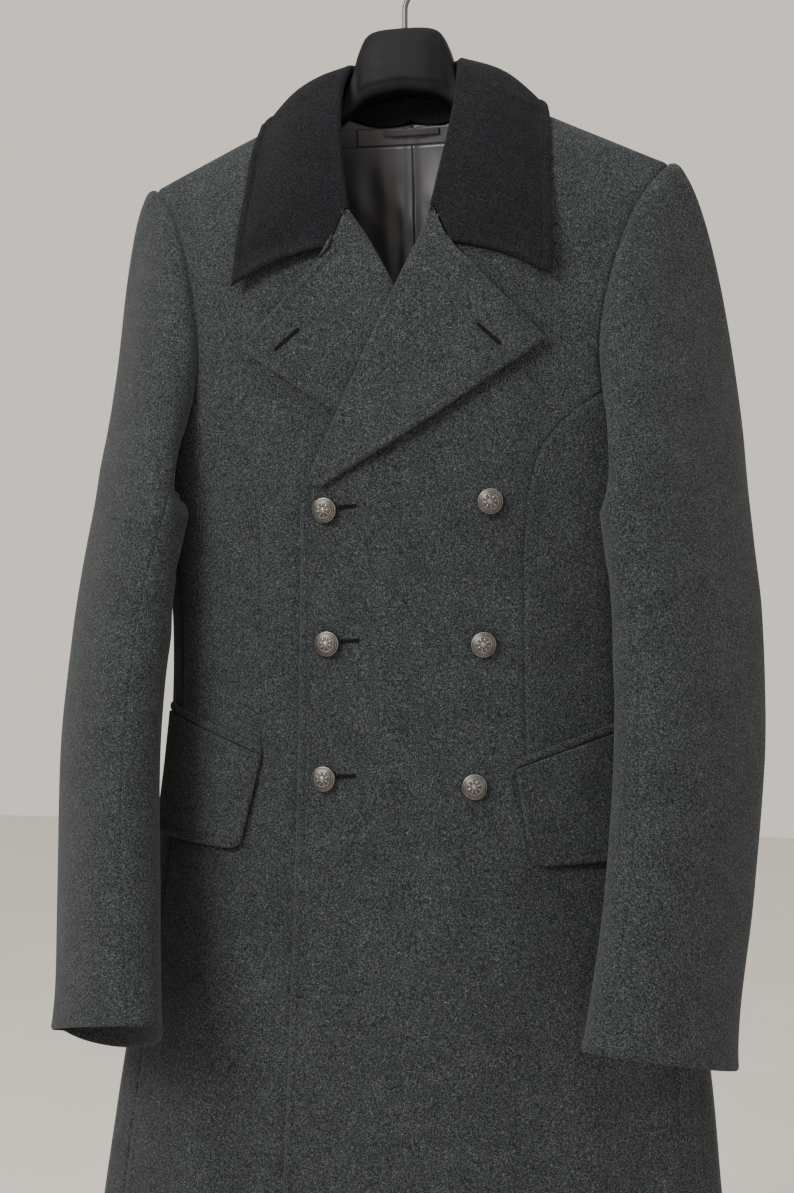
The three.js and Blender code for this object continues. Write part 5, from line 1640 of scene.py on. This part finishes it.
def build_hanger():
    ends = 214 - np.array([0.6, 0.25, 0])
    half = np.concatenate([np.linspace(0, 60, 49), np.linspace(60, 213, 62)[1:], ends])
    x = np.concatenate([-half[::-1][:-1], half])
    row = {name: column[:, None] for name, column in read(HANGER, "x", np.abs(x)).items()}
    sides = 72
    angle = (np.arange(sides) + 0.5) * 2 * math.pi / sides
    c, s = np.cos(angle)[None], np.sin(angle)[None]
    power = 2 / row["square"]
    past = np.abs(x) - HANGER_TIP["from"]
    tip = np.where(past > 0, np.sqrt(np.clip(1 - (past / HANGER_TIP["half"]) ** 2, 0, 1)), 1)[:, None]
    middle = (row["top"] + row["under"]) / 2
    tall = (row["top"] - row["under"]) / 2 * mix(HANGER_TIP["flat"], 1, tip)
    y = row["thick"] * tip * np.sign(c) * np.abs(c) ** power
    z = middle + tall * np.sign(s) * np.abs(s) ** power
    xx = np.broadcast_to(x[:, None], z.shape)
    # The neck's plate stands out from its rim by a bevel, front and back
    flat = (np.abs(c) ** power > 0.97) & (np.abs(xx) < HANGER_PLATE["half"])
    up = (z - row["under"]) / (row["top"] - row["under"])
    inset = ease(np.abs(xx), *HANGER_PLATE["across"]) * ease(up, *HANGER_PLATE["foot"])
    inset = inset * (1 - ease(up, *HANGER_PLATE["top"]))
    y = y + np.sign(c) * np.where(flat, HANGER_PLATE["proud"] * inset, 0)
    points = stack(xx, y, z).reshape(-1, 3)
    number, quads = ring_quads(len(x), sides)
    faces = [*outward(points, quads), tuple(number[0]), tuple(number[-1][::-1])]
    obj = mesh_object("moulding_hanger_body", points, faces, [PLASTIC])
    obj.data.validate()
    dress(obj, "hanger_body")


def build_hang_loop():
    lined = CLOTH + LINING_GAP + LINING + 0.4
    t, rise = np.meshgrid(np.linspace(0, 1, 70), np.linspace(0, 1, 9))
    x = mix(-HANG_LOOP["half"], HANG_LOOP["half"], t)
    z = mix(HANG_LOOP["foot"], HANG_LOOP["top"], rise)
    bow = HANG_LOOP["bow"] * np.sin(math.pi * t)
    round_ = 0.35 * np.sqrt(np.clip(1 - (2 * rise - 1) ** 4, 0, 1))
    face = on_body(x, z, False, -lined - bow - HANG_LOOP["thick"] + 0.35 - round_, True)
    back = on_body(x, z, False, -lined - bow, True)
    cloth_piece("hang_loop", face, back, TAPE, "loop_tape")


# Sewing on the made pieces
def stitch_lines(made, field, shortest):
    chains = contours(made["outer"], field, TOPSTITCH)
    return [chain for chain in chains if chain_length(chain) > shortest]


def forwards(chain):
    """A chain with its normals turned to the front of the coat."""
    sign = 1 if chain[:, 4].mean() < 0 else -1
    return np.concatenate([chain[:, :3], sign * chain[:, 3:]], 1)


def build_stitching():
    found = {}
    for node, made in sewn.items():
        if "field" in made:
            facing = [forwards(chain) for chain in stitch_lines(made, made["field"], 15)]
            material = COLLAR_THREAD if node == "collar" else THREAD
            found[node] = sew(f"stitching_{node}", facing, material)
    made = sewn["front_left"]
    x, z = made["outer"][..., 0], made["outer"][..., 2]
    distance = edge_distance(made["outer"], made["edge"])
    field = np.where((z < BREAK_Z + 6) & (x < 20), distance, FAR)
    found["front_left"] = sew("stitching_front_left", stitch_lines(made, field, 60), THREAD)
    return found


# How each kind of cloth is held, and what it hangs from or lies on
HELD = {
    "front": ("hung", ["moulding_hanger_body"]),
    "side_front": ("hung", ["moulding_hanger_body"]),
    "back": ("hung", ["moulding_hanger_body"]),
    "sleeve_top": ("hung", ["moulding_hanger_body"]),
    "sleeve_under": ("hung", ["moulding_hanger_body"]),
    "lapel": ("folded", ["cloth_front_left"]),
    "collar": ("folded", ["cloth_front_left", "cloth_back_left"]),
    "pocket_flap": ("hung", ["cloth_front_left"]),
    "lining_back": ("hung", ["cloth_back_left"]),
    "lining_yoke": ("hung", ["cloth_back_left"]),
}

# Narrow strips go with the piece that they are sewn to
CARRIED = {
    "pocket_welt_left": "pocket_flap_left",
    "pocket_welt_right": "pocket_flap_right",
    "hang_loop": "lining_yoke",
}


def declare_sheets(stitching, holes):
    for node, made in sewn.items():
        if node in CARRIED:
            continue
        kind = node.replace("_left", "").replace("_right", "")
        held, rests_on = HELD[kind]
        if node.endswith("_right"):
            rests_on = [name.replace("_left", "_right") for name in rests_on]
        width, length, area = cloth_size(made["outer"], made["keep"])
        carried = [stitching[node]] if node in stitching else []
        carried += holes.get(node, [])
        carried += [sewn[strip]["piece"] for strip, owner in CARRIED.items() if owner == node]


# Camera, floor and light
CAMERA = {"place": (352.7, -1559.0, -572.0), "aim": (-7.2, 0.0, -572.0), "lens": 55.05, "sensor": 36}
WORLD = {"color": (0.86, 0.79, 0.7, 1), "strength": 1.05}
FLOOR = {"half": 6000, "below_hem": 260}


def aimed(obj, place, aim):
    obj.location = Vector(place) * MM
    way = Vector(aim) - Vector(place)
    obj.rotation_mode = "QUATERNION"
    obj.rotation_quaternion = way.to_track_quat("-Z", "Y")
    bpy.context.scene.collection.objects.link(obj)


def build_camera():
    data = bpy.data.cameras.new("camera")
    data.sensor_width = CAMERA["sensor"]
    data.lens = CAMERA["lens"]
    camera = bpy.data.objects.new("camera", data)
    aimed(camera, CAMERA["place"], CAMERA["aim"])
    bpy.context.scene.camera = camera


LIGHTS = (
    # name, place, aim, size across and up, watts, colour
    ("key", (-1500, -2600, 1000), (0, 0, -450), (1400, 1100), 128, (1.0, 0.985, 0.96)),
    ("fill", (2300, -1900, 200), (0, 0, -650), (2000, 2000), 20, (0.95, 0.975, 1.0)),
    ("top", (0, -500, 2100), (0, 0, -400), (2400, 1600), 34, (1.0, 1.0, 1.0)),
)


def build_lights():
    for name, place, aim, size, watts, color in LIGHTS:
        data = bpy.data.lights.new(name, "AREA")
        data.shape = "RECTANGLE"
        data.size, data.size_y = size[0] * MM, size[1] * MM
        data.energy = watts
        data.color = color
        aimed(bpy.data.objects.new(name, data), place, aim)
    world = bpy.data.worlds.new("pale_world")
    world.use_nodes = True
    background = world.node_tree.nodes["Background"]
    background.inputs["Color"].default_value = WORLD["color"]
    background.inputs["Strength"].default_value = WORLD["strength"]
    bpy.context.scene.world = world


def build_floor():
    size, z = FLOOR["half"], HEM_Z - FLOOR["below_hem"]
    corners = [(-size, -size, z), (size, -size, z), (size, size, z), (-size, size, z)]
    floor = mesh_object("floor", corners, [(0, 1, 2, 3)], [matt_floor("pale_floor")])


build_camera()
build_lights()
build_floor()
for side in (1, -1):
    build_front(side)
    build_side_front(side)
    build_back(side)
    build_sleeve(side)
    build_lapel(side)
    build_pocket(side)
build_collar()
build_lining()
for node, (x, z) in BUTTONS.items():
    build_button(node, float(x), float(z))
build_hanger()
build_hook()
build_hang_loop()
stitching = build_stitching()
holes = build_buttonholes()
declare_sheets(stitching, holes)
